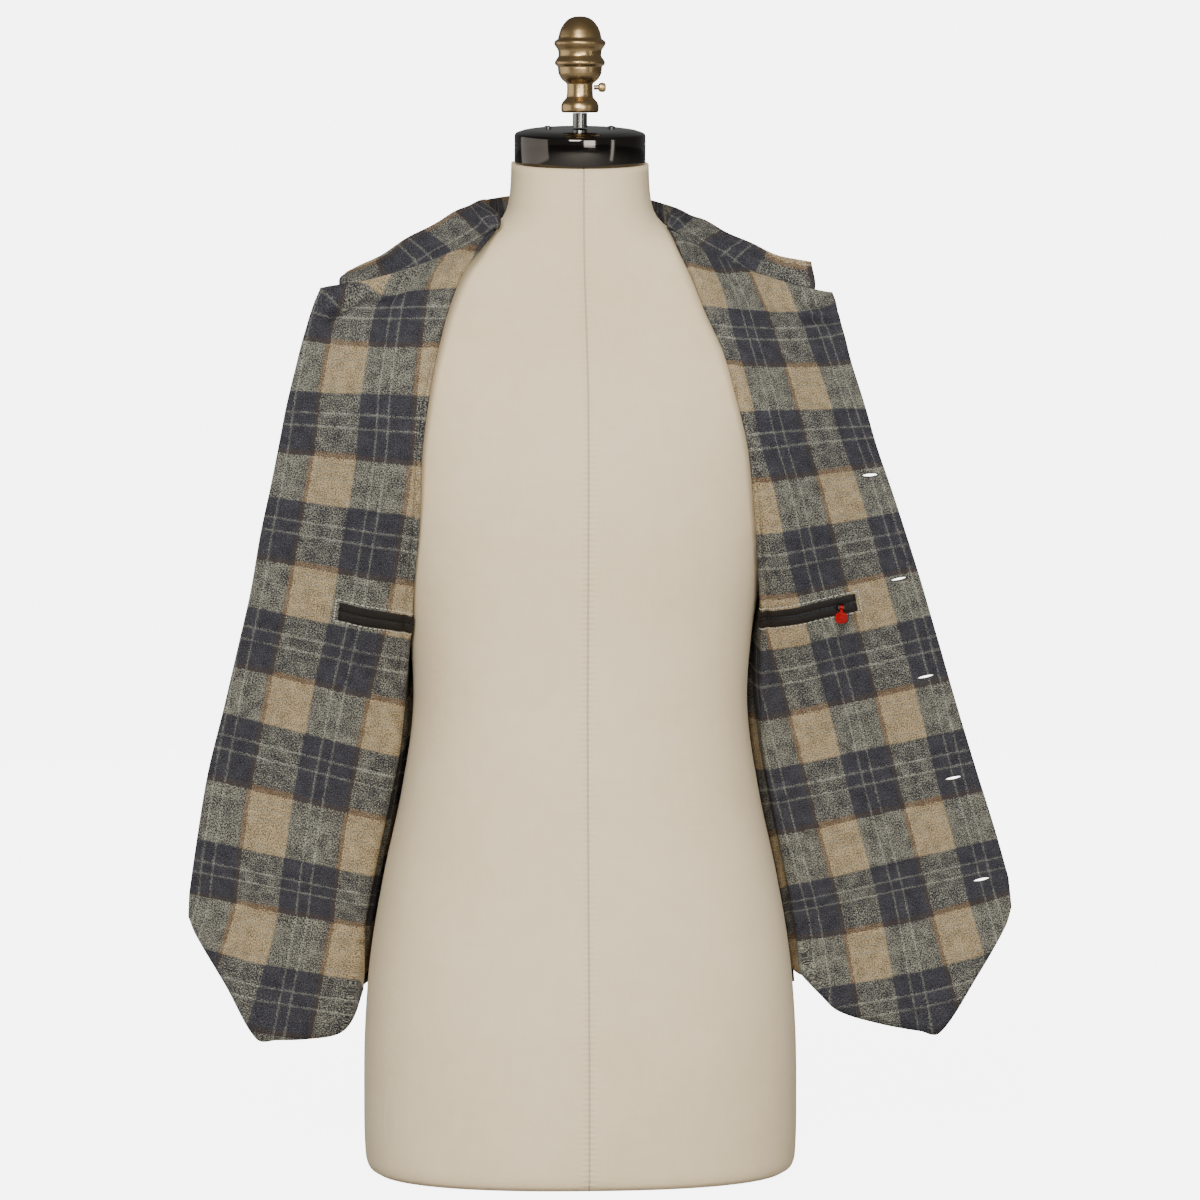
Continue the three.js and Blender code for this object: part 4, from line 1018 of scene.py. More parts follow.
left_front_place = front_sheet(LEFT_FRONT_LINES, LEFT_FRONT_HEM, 1)
right_front_place = front_sheet(RIGHT_FRONT_LINES, RIGHT_FRONT_HEM, -1)
left_front_facing = facing(left_front_place, 1)
right_front_facing = facing(right_front_place, -1)


def crease(u, v, start, end, depth, breadth):
    """A soft trough (or ridge, if depth is negative) between two places, deepest in the middle."""
    start, end = np.array(start), np.array(end)
    run = end - start
    along = ((u - start[0]) * run[0] + (v - start[1]) * run[1]) / (run @ run)
    on_line = np.clip(along, 0, 1)
    aside = np.hypot(u - start[0] - on_line * run[0], v - start[1] - on_line * run[1])
    taper = np.sin(np.pi * np.clip(along, 0, 1)) ** 0.7
    return -depth * taper * np.exp(-((aside / breadth) ** 2))


def draped(place, normal, creases, ripple):
    """The sheet with its creases and ripples, in the panel's own u and v."""

    def creased(u, v):
        off = sum(crease(u, v, *one) for one in creases)
        return place(u, v) + normal(u, v) * (off + ripple(u, v))[..., None]

    return creased


def clothed(name, shape):
    """A cloth panel with its thickness: one face wool, the other and the raw edge leather."""
    panel = fitted(name, shape, checked_wool)
    panel.data.materials.append(nappa)
    wall = panel.modifiers.new("thickness", "SOLIDIFY")
    wall.thickness = CLOTH
    wall.offset = 0
    wall.use_rim = True
    wall.material_offset = 1
    wall.material_offset_rim = 1
    return panel


def flap_ripple(*waves):
    """The flap's slow waves, each by its height, its turns down and across, and its start."""

    def ripple(u, v):
        slow = sum(high * np.sin(down * v + across * u + start) for high, down, across, start in waves)
        return smoothstep(u, 0.36, 0.6) * slow * smoothstep(v, 0.02, 0.12)

    return ripple


left_ripple = flap_ripple((0.0016, 9.0, 3.2, 0.4), (0.0011, 17.0, -5.0, 1.9))
right_ripple = flap_ripple((0.0015, 8.0, -2.6, 2.0), (0.0012, 15.0, 6.0, 0.3))

# The pulls at the lapels and the soft folds below, by start, end, depth and breadth.
LEFT_CREASES = [
    ((1.000, 0.040), (0.880, 0.064), 0.0048, 0.0150),
    ((0.990, 0.086), (0.870, 0.104), 0.0050, 0.0170),
    ((0.995, 0.062), (0.890, 0.082), -0.0026, 0.0120),
    ((0.890, 0.064), (0.780, 0.115), 0.0024, 0.0180),
    ((0.44, 0.30), (0.50, 0.74), 0.0022, 0.030),
    ((0.62, 0.42), (0.70, 0.96), -0.0018, 0.050),
    ((0.06, 0.50), (0.26, 0.62), 0.0022, 0.030),
    ((0.05, 0.62), (0.28, 0.70), -0.0016, 0.030),
    ((0.08, 0.34), (0.26, 0.40), 0.0014, 0.024),
]
RIGHT_CREASES = [
    ((0.965, 0.116), (0.868, 0.046), 0.0085, 0.0190),
    ((0.890, 0.056), (0.740, 0.116), 0.0044, 0.0180),
    ((0.990, 0.066), (0.905, 0.018), -0.0034, 0.0220),
    ((0.45, 0.26), (0.50, 0.70), 0.0024, 0.030),
    ((0.66, 0.34), (0.72, 0.94), -0.0018, 0.050),
    ((0.06, 0.48), (0.26, 0.60), 0.0022, 0.030),
    ((0.05, 0.60), (0.28, 0.69), -0.0016, 0.030),
    ((0.08, 0.33), (0.26, 0.38), 0.0014, 0.024),
]

FRONT_US = [*np.linspace(0, SHOULDER_U, 26), *np.linspace(SHOULDER_U, FOLD_U, 12)[1:]]
FRONT_US += [*np.linspace(FOLD_U, 1, 105)[1:]]
FRONT_VS = np.linspace(0, 1, 200)

left_front_draped = draped(left_front_place, left_front_facing, LEFT_CREASES, left_ripple)
right_front_draped = draped(right_front_place, right_front_facing, RIGHT_CREASES, right_ripple)

left_check = check_on_front(left_front_place, LEFT_CHECK, 1.16, 1)
right_check = check_on_front(right_front_place, RIGHT_CHECK, 1.02, -1)
left_shape = sheet_mesh(FRONT_US, FRONT_VS, left_front_draped, left_check)
right_shape = sheet_mesh(FRONT_US, FRONT_VS, right_front_draped, right_check)
bmesh.ops.reverse_faces(right_shape, faces=right_shape.faces)
left_front = clothed("wool_front_left", left_shape)
right_front = clothed("wool_front_right", right_shape)
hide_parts("front_left")
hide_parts("front_right")


# ---------- gilet: the back ----------
# One panel of the same cloth, leather side out, from shoulder to hem. It hangs from the shoulder
# blades and stands off the form at the small of the back.

BACK_NECK_Z, BACK_HEM_Z = 0.786, 0.150
BACK_ARMHOLE_BITE = 36
BACK_NECK_SHARE = 0.42  # of the panel's top edge
BACK_CROWDING = 1.35  # how far the lines of the sheet crowd towards the shoulders
SMALL_OF_BACK = 0.016  # how much further off the form it hangs there
SMALL_OF_BACK_Z, SMALL_OF_BACK_REACH = 0.4, 0.2  # its height, and how far that reaches up and down
BACK_WIDTH = 0.52  # of the woven cloth that the panel is cut from


def back_place(u, v):
    u, v = np.broadcast_arrays(np.asarray(u, float), np.asarray(v, float))
    across = 2 * u - 1
    reach = np.abs(across)
    on_shoulder = np.clip((reach - BACK_NECK_SHARE) / (1 - BACK_NECK_SHARE), 0, 1)
    on_neck = np.minimum(1, reach / BACK_NECK_SHARE)
    top_z = lerp(lerp(BACK_NECK_Z, NECK_POINT_Z, on_neck**2), SHOULDER_TIP_Z, on_shoulder)
    down = v**BACK_CROWDING
    z = lerp(top_z, BACK_HEM_Z, down)
    upper = np.clip(down * (SHOULDER_TIP_Z - BACK_HEM_Z) / (SHOULDER_TIP_Z - UNDERARM_Z), 0, 1)
    edge = armhole_angle(lerp(SHOULDER_TIP_Z, UNDERARM_Z, upper), BACK_ARMHOLE_BITE)
    angle = 90 - (90 - edge) * lerp(on_neck, reach, smoothstep(upper, 0, 0.7))
    low, high = SMALL_OF_BACK_Z - SMALL_OF_BACK_REACH, SMALL_OF_BACK_Z + SMALL_OF_BACK_REACH
    hollow = smoothstep(z, low, SMALL_OF_BACK_Z) - smoothstep(z, SMALL_OF_BACK_Z, high)
    ease = ease_through(z) + SMALL_OF_BACK * hollow * np.sin(np.radians(angle)) ** 2
    cloth = around_form(angle, z, ease_across(z), ease)
    mirrored = cloth * np.stack([np.sign(across), 1 + 0 * u, 1 + 0 * u], -1)
    return mirrored + np.array([0, SEAM_GAP / 2, 0])


def check_on_back(u, v):
    cloth = back_place(u, v)
    return np.stack([(u - 0.5) * BACK_WIDTH + CHECK_ACROSS * 0.22, BACK_NECK_Z - cloth[:, 2]], -1)


def back_ripple(u, v):
    lower = smoothstep(v, 0.35, 0.9)
    return -lower * 0.0022 * np.cos(2 * np.pi * 2.5 * (u - 0.5)) * (1 - np.abs(2 * u - 1) ** 4)


BACK_CREASES = [
    ((0.20, 0.30), (0.40, 0.46), 0.0020, 0.030),
    ((0.80, 0.32), (0.60, 0.47), 0.0020, 0.030),
    ((0.12, 0.56), (0.36, 0.64), 0.0020, 0.026),
    ((0.88, 0.58), (0.62, 0.65), 0.0020, 0.026),
    ((0.30, 0.62), (0.70, 0.64), -0.0016, 0.030),
]
back_facing = facing(back_place, -1)
back_draped = draped(back_place, back_facing, BACK_CREASES, back_ripple)
back_shape = sheet_mesh(np.linspace(0, 1, 141), np.linspace(0, 1, 170), back_draped, check_on_back)
back = clothed("leather_back", back_shape)
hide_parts("back")


# ---------- gilet: the collar ----------
# One strip of the cloth, sewn round the neckline and along both gorge seams to the notches. It
# stands round the neck and falls open over the fronts, wool side up.

COLLAR_ON_FRONT = 0.56  # share of half the collar that is sewn to a front
COLLAR_STANDS = 0.0018  # above the neckline, round the neck
SEWN_IN = 0.0028  # how far its standing part goes down into the neckline
SEWN_IN_FROM, SEWN_IN_TO = 0.38, 0.52  # shares of half the collar over which it sinks in
NOTCH_U = lerp(1, FOLD_U, 1 / 14)

# From the notch (0) to the middle of the back neck (1): the free edge's x, y and z.
LEFT_COLLAR_EDGE = [
    (0.00, 0.1845, -0.055, 0.7465),
    (0.08, 0.1605, -0.049, 0.751),
    (0.18, 0.135, -0.042, 0.7615),
    (0.30, 0.106, -0.032, 0.776),
    (0.44, 0.084, -0.010, 0.7865),
    (0.58, 0.074, 0.022, 0.792),
    (0.76, 0.056, 0.058, 0.797),
    (0.88, 0.030, 0.078, 0.8005),
    (1.00, 0.000, 0.084, 0.802),
]
RIGHT_COLLAR_EDGE = [
    (0.00, 0.191, -0.040, 0.738),
    (0.08, 0.167, -0.038, 0.750),
    (0.18, 0.140, -0.034, 0.766),
    (0.30, 0.109, -0.026, 0.783),
    (0.44, 0.085, -0.008, 0.7945),
    (0.58, 0.074, 0.022, 0.797),
    (0.76, 0.056, 0.058, 0.799),
    (0.88, 0.030, 0.078, 0.8015),
    (1.00, 0.000, 0.084, 0.802),
]
UP = np.array([0.0, 0.0, 1.0])


def half_collar(front_place, edge, side):
    """Half the collar, by its share along from the notch to the back and v from seam to edge."""
    edge_x, edge_y, edge_z = (smooth_column(edge, column) for column in (1, 2, 3))

    def place(along, v):
        on_front = np.clip(along / COLLAR_ON_FRONT, 0, 1)
        u = lerp(NOTCH_U, SHOULDER_U, on_front)
        seam_front = front_place(u, 0 * u)
        run = front_place(u + 0.004, 0 * u) - front_place(u - 0.004, 0 * u)
        run = run / length_of(run)
        up = seam_front - front_place(u, 0 * u + 0.01)
        up = up - run * (up * run).sum(-1, keepdims=True)
        up = up / length_of(up)
        near_neck = (1 - smoothstep(u, SHOULDER_U, FOLD_U + 0.1))[..., None]
        up = lerp(up, UP, near_neck)
        up = up / length_of(up)
        standing = 1 - smoothstep(u, FOLD_U, FOLD_U + 0.32)
        lift = lerp(SEAM_GAP, COLLAR_STANDS, standing)[..., None]
        round_neck = np.clip((along - COLLAR_ON_FRONT) / (1 - COLLAR_ON_FRONT), 0, 1)
        across = side * BACK_NECK_SHARE * (1 - round_neck)
        seam_back = back_place(0.5 + across / 2, 0 * along) + UP * COLLAR_STANDS
        behind = (along >= COLLAR_ON_FRONT)[..., None]
        seam = np.where(behind, seam_back, seam_front + up * lift)
        seam = seam - UP * (SEWN_IN * smoothstep(along, SEWN_IN_FROM, SEWN_IN_TO))[..., None]
        up = np.where(behind, UP, up)
        free = np.stack([side * edge_x(along), edge_y(along), edge_z(along)], -1)
        out = free - seam
        return hermite(seam, free, up * length_of(out), out, v[..., None])

    return place


left_half_collar = half_collar(left_front_place, LEFT_COLLAR_EDGE, 1)
right_half_collar = half_collar(right_front_place, RIGHT_COLLAR_EDGE, -1)


def collar_place(u, v):
    u, v = np.broadcast_arrays(np.asarray(u, float), np.asarray(v, float))
    along = 1 - np.abs(2 * u - 1)
    left = (u < 0.5)[..., None]
    return np.where(left, left_half_collar(along, v), right_half_collar(along, v))


COLLAR_RUN = 0.330  # from a notch round to the middle of the back, along the free edge
COLLAR_AT_BACK = 0.021  # how much longer it runs where it bends round the back neck
LEFT_CHECK_START, RIGHT_CHECK_START = 0.0047, 0.1088  # where a repeat starts, from each notch


def check_on_collar(u, v):
    """One strip of cloth from notch to notch, with a rust line along most of its free edge."""
    along = 1 - np.abs(2 * u - 1)
    run = along * COLLAR_RUN + COLLAR_AT_BACK * smoothstep(along, 0.5, 1.0)
    across = np.where(u < 0.5, run - LEFT_CHECK_START, RIGHT_CHECK_START - run)
    width = length_of(collar_place(u, 0 * v + 1) - collar_place(u, 0 * v))[:, 0]
    at_tip = 1 - smoothstep(run, 0.02, 0.07)
    edge = CHECK_DOWN + np.where(u < 0.5, 0.008 * at_tip - 0.004, 0.004 * at_tip - 0.0005)
    return np.stack([across, edge - (1 - v) * width], -1)


def collar_ripple(u, v):
    along = 1 - np.abs(2 * u - 1)
    on_fall = smoothstep(along, 0.0, 0.1) * (1 - smoothstep(along, 0.35, 0.5))
    return 0.0009 * on_fall * np.sin(40 * along + 1.0) * v


COLLAR_CREASES = [((0.10, 0.4), (0.22, 0.6), -0.001, 0.2)]
COLLAR_US, COLLAR_VS = np.linspace(0, 1, 361), np.linspace(0, 1, 29)
collar_facing = facing(collar_place, 1)
collar_draped = draped(collar_place, collar_facing, COLLAR_CREASES, collar_ripple)
collar_shape = sheet_mesh(COLLAR_US, COLLAR_VS, collar_draped, check_on_collar)
collar = clothed("wool_collar", collar_shape)
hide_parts("collar")


# ---------- gilet: buttonholes ----------
# Five worked holes along the left front's edge: a slit through both layers, oversewn all round
# with dark silk twist.

# Height, and how far in from the front edge.
BUTTONHOLES = [(0.575, 0.014), (0.493, 0.017), (0.412, 0.018), (0.327, 0.020), (0.243, 0.022)]
HOLE_LENGTH = 0.0145
HOLE_OPEN = 0.0023  # how far the slit gapes
RIM_BREADTH = 0.0030
TWIST = 0.0005  # half the thickness of the silk
RIM_TURNS = 60  # of silk round one hole
THROUGH = 0.008  # what reaches right through the cloth, or a button


def edge_at(place, z):
    """Where the front edge crosses a height, found by halving."""
    low, high = 0.0, 1.0
    for _ in range(24):
        middle = (low + high) / 2
        if place(1.0, middle)[2] > z:
            low = middle
        else:
            high = middle
    return low


def inset_from_edge(place, v, length):
    """The u that lies a length in from the front edge, along the level line at v."""
    us = np.linspace(1, 0, 401)
    steps = np.linalg.norm(np.diff(place(us, np.full(401, v)), axis=0), axis=-1)
    return float(np.interp(length, np.concatenate([[0], np.cumsum(steps)]), us))


def laid(at, ahead, out):
    """A matrix that lays a flat piece at a point: x ahead along a line, z out of the cloth."""
    ahead = (ahead - out * ahead.dot(out)).normalized()
    turn = Matrix((ahead, out.cross(ahead), out)).transposed().to_4x4()
    return Matrix.Translation(at) @ turn


def placed_on(place, normal, u, v, offset):
    """A matrix that lays a flat piece on a sheet: x along its level line, z off its wool side."""
    u, v = np.array(u, float), np.array(v, float)
    out = Vector(normal(u, v))
    ahead = Vector(place(np.minimum(u + 0.01, 1), v) - place(np.maximum(u - 0.01, 0), v))
    return laid(Vector(place(u, v)) + out * offset, ahead, out)


def make_thread(name, colour):
    thread, tree, shader = new_finish(name, Roughness=0.6)
    shader.inputs["Sheen Weight"].default_value = 0.2
    place = object_place(tree)
    twisted = {"bands_direction": "DIAGONAL"}
    ply = node(tree, "ShaderNodeTexWave", twisted, Vector=place, Scale=900.0, Distortion=1.0)
    shade = spread(tree, ply.outputs["Fac"], 0.0, 1.0, 0.6, 1.15)
    dark = tuple(part * 0.5 for part in colour[:3]) + (1,)
    tree.links.new(mixed(tree, shade, dark, colour), shader.inputs["Base Color"])
    raise_bump(tree, shader, ply.outputs["Fac"], 0.0001, 0.5)
    return thread


dark_thread = make_thread("dark silk twist", (0.028, 0.024, 0.022, 1))
pale_thread = make_thread("pale pick thread", (0.60, 0.56, 0.46, 1))


def gathered_up(name, shapes, finish):
    """Several finished shapes made into one piece."""
    whole = bmesh.new()
    for shape in shapes:
        mesh = bpy.data.meshes.new("part")
        shape.to_mesh(mesh)
        shape.free()
        whole.from_mesh(mesh)
        bpy.data.meshes.remove(mesh)
    return fitted(name, whole, finish)


def bead_of_thread(size, along_x=False, segments=6, rings=4):
    """One short stitch: a round bead of thread, drawn out to its length, breadth and height."""
    bead = bmesh.new()
    bmesh.ops.create_uvsphere(bead, u_segments=segments, v_segments=rings, radius=0.5)
    if along_x:
        bmesh.ops.rotate(bead, verts=bead.verts, matrix=Matrix.Rotation(math.pi / 2, 3, "Y"))
    bmesh.ops.scale(bead, verts=bead.verts, vec=size)
    return bead


def drill(radius, segments):
    """A straight cutter that reaches through what it is set on."""
    bit = bmesh.new()
    bmesh.ops.create_cone(
        bit, cap_ends=True, segments=segments, radius1=radius, radius2=radius, depth=THROUGH
    )
    return bit


def stitched_rim(length, breadth, thread):
    """The oversewn rim of a slit: a round rim with a turn of thread every half millimetre."""

    def place(turn, round_thread):
        along, across = 2 * np.pi * turn, 2 * np.pi * round_thread
        middle = np.stack([length / 2 * np.cos(along), breadth / 2 * np.sin(along)], -1)
        out = np.stack([np.cos(along) * breadth, np.sin(along) * length], -1)
        out = out / length_of(out)
        ribbed = thread * (1 + 0.16 * np.sin(RIM_TURNS * along))
        flat = middle + out * (ribbed * np.cos(across))[..., None]
        return np.concatenate([flat, (0.75 * ribbed * np.sin(across))[..., None]], -1)

    return sheet_mesh(np.linspace(0, 1, 181), np.linspace(0, 1, 9), place, closed=True)


slits, rims = [], []
for height, inset in BUTTONHOLES:
    v = edge_at(left_front_place, height)
    u = inset_from_edge(left_front_place, v, inset)
    lay = placed_on(left_front_draped, left_front_facing, u, v, 0)
    slit = drill(0.5, 24)
    for corner in slit.verts:
        corner.co.x *= HOLE_LENGTH - 2 * TWIST
        corner.co.y *= HOLE_OPEN * (1 - abs(corner.co.x * 2 / HOLE_LENGTH) ** 2 * 0.5)
    slit.transform(lay)
    slits.append(slit)
    rim = stitched_rim(HOLE_LENGTH, RIM_BREADTH, TWIST)
    rim.transform(lay @ Matrix.Translation((0, 0, CLOTH / 2)))
    rims.append(rim)
cutter = gathered_up("slit_cutter", slits, dark_thread)
cut = left_front.modifiers.new("buttonholes", "BOOLEAN")
cut.object, cut.operation, cut.solver = cutter, "DIFFERENCE", "FAST"
bpy.context.view_layer.update()
with bpy.context.temp_override(object=left_front, active_object=left_front):
    bpy.ops.object.modifier_apply(modifier="thickness")
    bpy.ops.object.modifier_apply(modifier="buttonholes")
bpy.data.objects.remove(cutter)
buttonhole_stitches = gathered_up("buttonhole_stitches", rims, dark_thread)


# ---------- gilet: pick stitching ----------
# Small hand stitches of rust thread near the front edges, the hems and the collar's free edge
# hold the leather and the wool together.

PICK_EVERY = 0.008
PICK_INSET = 0.005
PICK = (0.0017, 0.0007, 0.00049)  # length, breadth and height of a stitch


def run_of_picks(place, normal, path_u, path_v):
    """Stitches along a path of (u, v) on a sheet, each a small flattened bead of thread."""
    fine = 1200
    share = np.linspace(0, 1, fine)
    u, v = path_u(share), path_v(share)
    points = place(u, v)
    walked = np.concatenate([[0], np.cumsum(np.linalg.norm(np.diff(points, axis=0), axis=-1))])
    count = max(2, int(walked[-1] / PICK_EVERY))
    wanted = (np.arange(count) + 0.5) * walked[-1] / count
    at = np.interp(wanted, walked, np.arange(fine)).astype(int)
    beads = []
    for i in at:
        out = Vector(normal(u[i], v[i]))
        ahead = Vector(points[min(i + 1, fine - 1)] - points[max(i - 1, 0)])
        bead = bead_of_thread(PICK, along_x=True)
        bead.transform(laid(Vector(points[i]) + out * (CLOTH / 2), ahead, out))
        beads.append(bead)
    return beads


def edge_inset_u(place, inset):
    """u as a function of v for a line a fixed length in from the front edge."""
    vs = np.linspace(0, 1, 41)
    us = np.array([inset_from_edge(place, v, inset) for v in vs])
    return lambda v: np.interp(v, vs, us)


def pick_share(s):
    return s * 0.985 + 0.01


picks = []
for place, normal, lap in (
    (left_front_draped, left_front_facing, left_front_place),
    (right_front_draped, right_front_facing, right_front_place),
):
    inset_u = edge_inset_u(lap, PICK_INSET)
    picks += run_of_picks(place, normal, lambda s, f=inset_u: f(pick_share(s)), pick_share)
    picks += run_of_picks(place, normal, lambda s: 0.34 + 0.65 * s, lambda s: 0 * s + 0.99)
for start, end in ((0.004, 0.24), (0.76, 0.996)):
    picks += run_of_picks(
        collar_draped,
        collar_facing,
        lambda s, a=start, b=end: lerp(a, b, s),
        lambda s: 0 * s + 0.90,
    )
rust_thread = make_thread("rust pick thread", (0.10, 0.05, 0.028, 1))
pick_stitches = gathered_up("pick_stitches", picks, rust_thread)


# ---------- gilet: the two inside pockets ----------
# Each is jetted: two narrow folded welts of the brown leather meet over a slit, with a pale
# stitch line round them. The left one closes with a zip, whose slider carries a plain red tab.

POCKET_V = 0.6
POCKET_LENGTH = 0.115
POCKET_HEIGHT = 0.0152
WELT_THICKNESS = 0.0011
LAID_GAP = 0.0006
ZIPPED_SPACE, PLAIN_SPACE = 0.0028, 0.0006  # between the two welts
LEFT_INSET, RIGHT_INSET = 0.056, 0.073  # from the front edge to the pocket's outer end
STITCH_MARGIN = 0.0016  # from the welts to the stitch line
STITCH_EVERY = 0.0027
MOUTH_HALF, TAPE_HALF = 0.0010, 0.0022  # half the width of the open mouth and of the zip's tape
WELT_BROWN = (0.0115, 0.0085, 0.0062, 1)
welt_leather = make_leather("welt leather", WELT_BROWN, 1100.0)


def moved_down(place, u, v, length):
    step = 0.004
    pace = np.linalg.norm(place(u, v + step) - place(u, v - step), axis=-1) / (2 * step)
    return v + length / pace


def strip_on(place, normal, start_u, end_u, v):
    """A strip along a level line: place(s, down, off) with s along it and lengths in metres."""

    def lay(s, down, off):
        u = lerp(start_u, end_u, s)
        at_v = moved_down(place, u, np.full_like(u, v), down)
        return place(u, at_v) + normal(u, at_v) * np.asarray(off)[..., None]

    return lay


def rolled_strip(lay, top, bottom, base, thickness, squareness=2.6):
    """A closed soft-edged strip: its cross-section is a flattened round, closed at both ends."""
    columns, around = 60, 20
    middle, half = (top + bottom) / 2, (bottom - top) / 2

    def place(s, turn):
        sides = np.cos(2 * np.pi * turn), np.sin(2 * np.pi * turn)
        level, rise = (np.sign(part) * np.abs(part) ** (2 / squareness) for part in sides)
        end = np.minimum(s, 1 - s) * columns
        full = np.clip(end, 0, 1) ** 0.5
        down = middle + half * level * full
        off = base + thickness / 2 * (1 + rise * full)
        return lay(np.clip((s - 0.5) * columns / (columns - 2) + 0.5, 0, 1), down, off)

    ss, turns = np.linspace(0, 1, columns + 1), np.linspace(0, 1, around + 1)
    return sheet_mesh(ss, turns, place, closed=True)


pockets = {}
for name, place, normal, lap, inset, space in (
    ("left", left_front_draped, left_front_facing, left_front_place, LEFT_INSET, ZIPPED_SPACE),
    ("right", right_front_draped, right_front_facing, right_front_place, RIGHT_INSET, PLAIN_SPACE),
):
    start_u = inset_from_edge(lap, POCKET_V, inset + POCKET_LENGTH)
    end_u = inset_from_edge(lap, POCKET_V, inset)
    lay = strip_on(place, normal, start_u, end_u, POCKET_V)
    pockets[name] = lay
    base = CLOTH / 2 + LAID_GAP / 2
    for part, top, bottom in (
        ("upper", -POCKET_HEIGHT / 2, -space / 2),
        ("lower", space / 2, POCKET_HEIGHT / 2),
    ):
        welt = fitted(
            f"leather_welt_{part}_{name}",
            rolled_strip(lay, top, bottom, base, WELT_THICKNESS + LAID_GAP / 2),
            welt_leather,
        )
        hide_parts(f"welt_{part}_{name}")
    # Painted shade: a thin dark strip laid between the welts stands in for the shade in the pocket's
    # open slit.
    if name == "right":
        mouth = rolled_strip(lay, -MOUTH_HALF, MOUTH_HALF, CLOTH / 2, 0.0006, squareness=4)
        painted_slit_shade = fitted("pocket_mouth_shade_right", mouth, dark_thread)


def point_on(lay, s, down, off):
    return Vector(lay(np.array(s), np.array(down), CLOTH / 2 + off))


stitches = []
top, bottom = -POCKET_HEIGHT / 2 - STITCH_MARGIN, POCKET_HEIGHT / 2 + STITCH_MARGIN
start, end = -STITCH_MARGIN / POCKET_LENGTH, 1 + STITCH_MARGIN / POCKET_LENGTH
corners = [(start, top), (end, top), (end, bottom), (start, bottom), (start, top)]
for lay in pockets.values():
    for (s0, d0), (s1, d1) in zip(corners, corners[1:]):
        length = abs(s1 - s0) * POCKET_LENGTH + abs(d1 - d0)
        count = max(3, round(length / STITCH_EVERY))
        for i in range(count):
            near, far = (
                point_on(lay, lerp(s0, s1, f / count), lerp(d0, d1, f / count), 0.0001)
                for f in (i + 0.12, i + 0.88)
            )
            run = far - near
            bead = bead_of_thread((0.0009, 0.0008, run.length))
            turn = run.to_track_quat("Z", "Y").to_matrix().to_4x4()
            bead.transform(Matrix.Translation((near + far) / 2) @ turn)
            stitches.append(bead)
pocket_stitches = gathered_up("pocket_stitches", stitches, pale_thread)

# The zip: two rows of dark nickel teeth on black tape.
black_tape = make_thread("black zip tape", (0.012, 0.012, 0.013, 1))
dark_nickel = make_metal("dark nickel", (0.050, 0.046, 0.042), (0.030, 0.028, 0.026), 0.34, 1.0)
lay = pockets["left"]
tape_shape = rolled_strip(lay, -TAPE_HALF, TAPE_HALF, CLOTH / 2 + 0.0001, 0.0007, squareness=4)
tape = fitted("zip_tape", tape_shape, black_tape)
TOOTH = (0.0013, 0.0017, 0.0009)
TOOTH_EVERY = 0.0021
TOOTH_ASIDE = 0.0003  # how far each row lies from the middle of the tape
TOOTH_RISE = 0.0011
teeth = []
count = int(POCKET_LENGTH / TOOTH_EVERY)
for i in range(count):
    s = (i + 0.5) / count
    aside = TOOTH_ASIDE if i % 2 else -TOOTH_ASIDE
    here = point_on(lay, s, aside, TOOTH_RISE)
    ahead = (point_on(lay, s + 0.003, aside, TOOTH_RISE) - here).normalized()
    off = (point_on(lay, s, aside, 0.003) - here).normalized()
    tooth = bmesh.new()
    bmesh.ops.create_cube(tooth, size=1)
    bmesh.ops.scale(tooth, verts=tooth.verts, vec=TOOTH)
    bmesh.ops.bevel(
        tooth, geom=tooth.edges[:], offset=0.0002, segments=1, profile=0.5, affect="EDGES", material=-1
    )
    turn = Matrix((ahead, off.cross(ahead), off)).transposed().to_4x4()
    tooth.transform(Matrix.Translation(here) @ turn)
    teeth.append(tooth)
zip_teeth = gathered_up("zip_teeth", teeth, dark_nickel)
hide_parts("zip")


ENAMEL_RED = (0.300, 0.0012, 0.0018, 1)
ENAMEL_SCUFFED = (0.200, 0.0010, 0.0014, 1)


def make_red_enamel():
    """A plain cast tab sprayed a glossy red, a little scuffed."""
    enamel, tree, shader = new_finish("red enamel", Specular_IOR_Level=0.12)
    place = object_place(tree)
    scuffs = placed_effect(tree, soiling, Vector=place, Size=160.0, Breakup=0.8)["Mask"]
    tree.links.new(mixed(tree, scuffs, ENAMEL_RED, ENAMEL_SCUFFED), shader.inputs["Base Color"])
    tree.links.new(spread(tree, scuffs, 0.0, 1.0, 0.10, 0.20), shader.inputs["Roughness"])
    raise_bump(tree, shader, scuffs, 0.0001, 0.3)
    return enamel


for cad_node, finish, slot_name in (
    ("zip_slider", dark_nickel, "steel"),
    ("zip_pull", make_red_enamel(), "enamel"),
):
    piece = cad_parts[cad_node]
    piece.data.materials.clear()
    piece.data.materials.append(finish)
    weld = piece.modifiers.new("weld", "WELD")
    weld.merge_threshold = 1e-5
    soften = piece.modifiers.new("soft edges", "BEVEL")
    soften.width, soften.segments, soften.limit_method = 0.00025, 2, "ANGLE"
    soften.angle_limit = math.radians(40)
    soften.harden_normals = False


# ---------- gilet: buttons ----------
# Five four-hole dark horn buttons on the right front's leather side, sewn on with dark thread.
# In this pose they are on its hidden face.

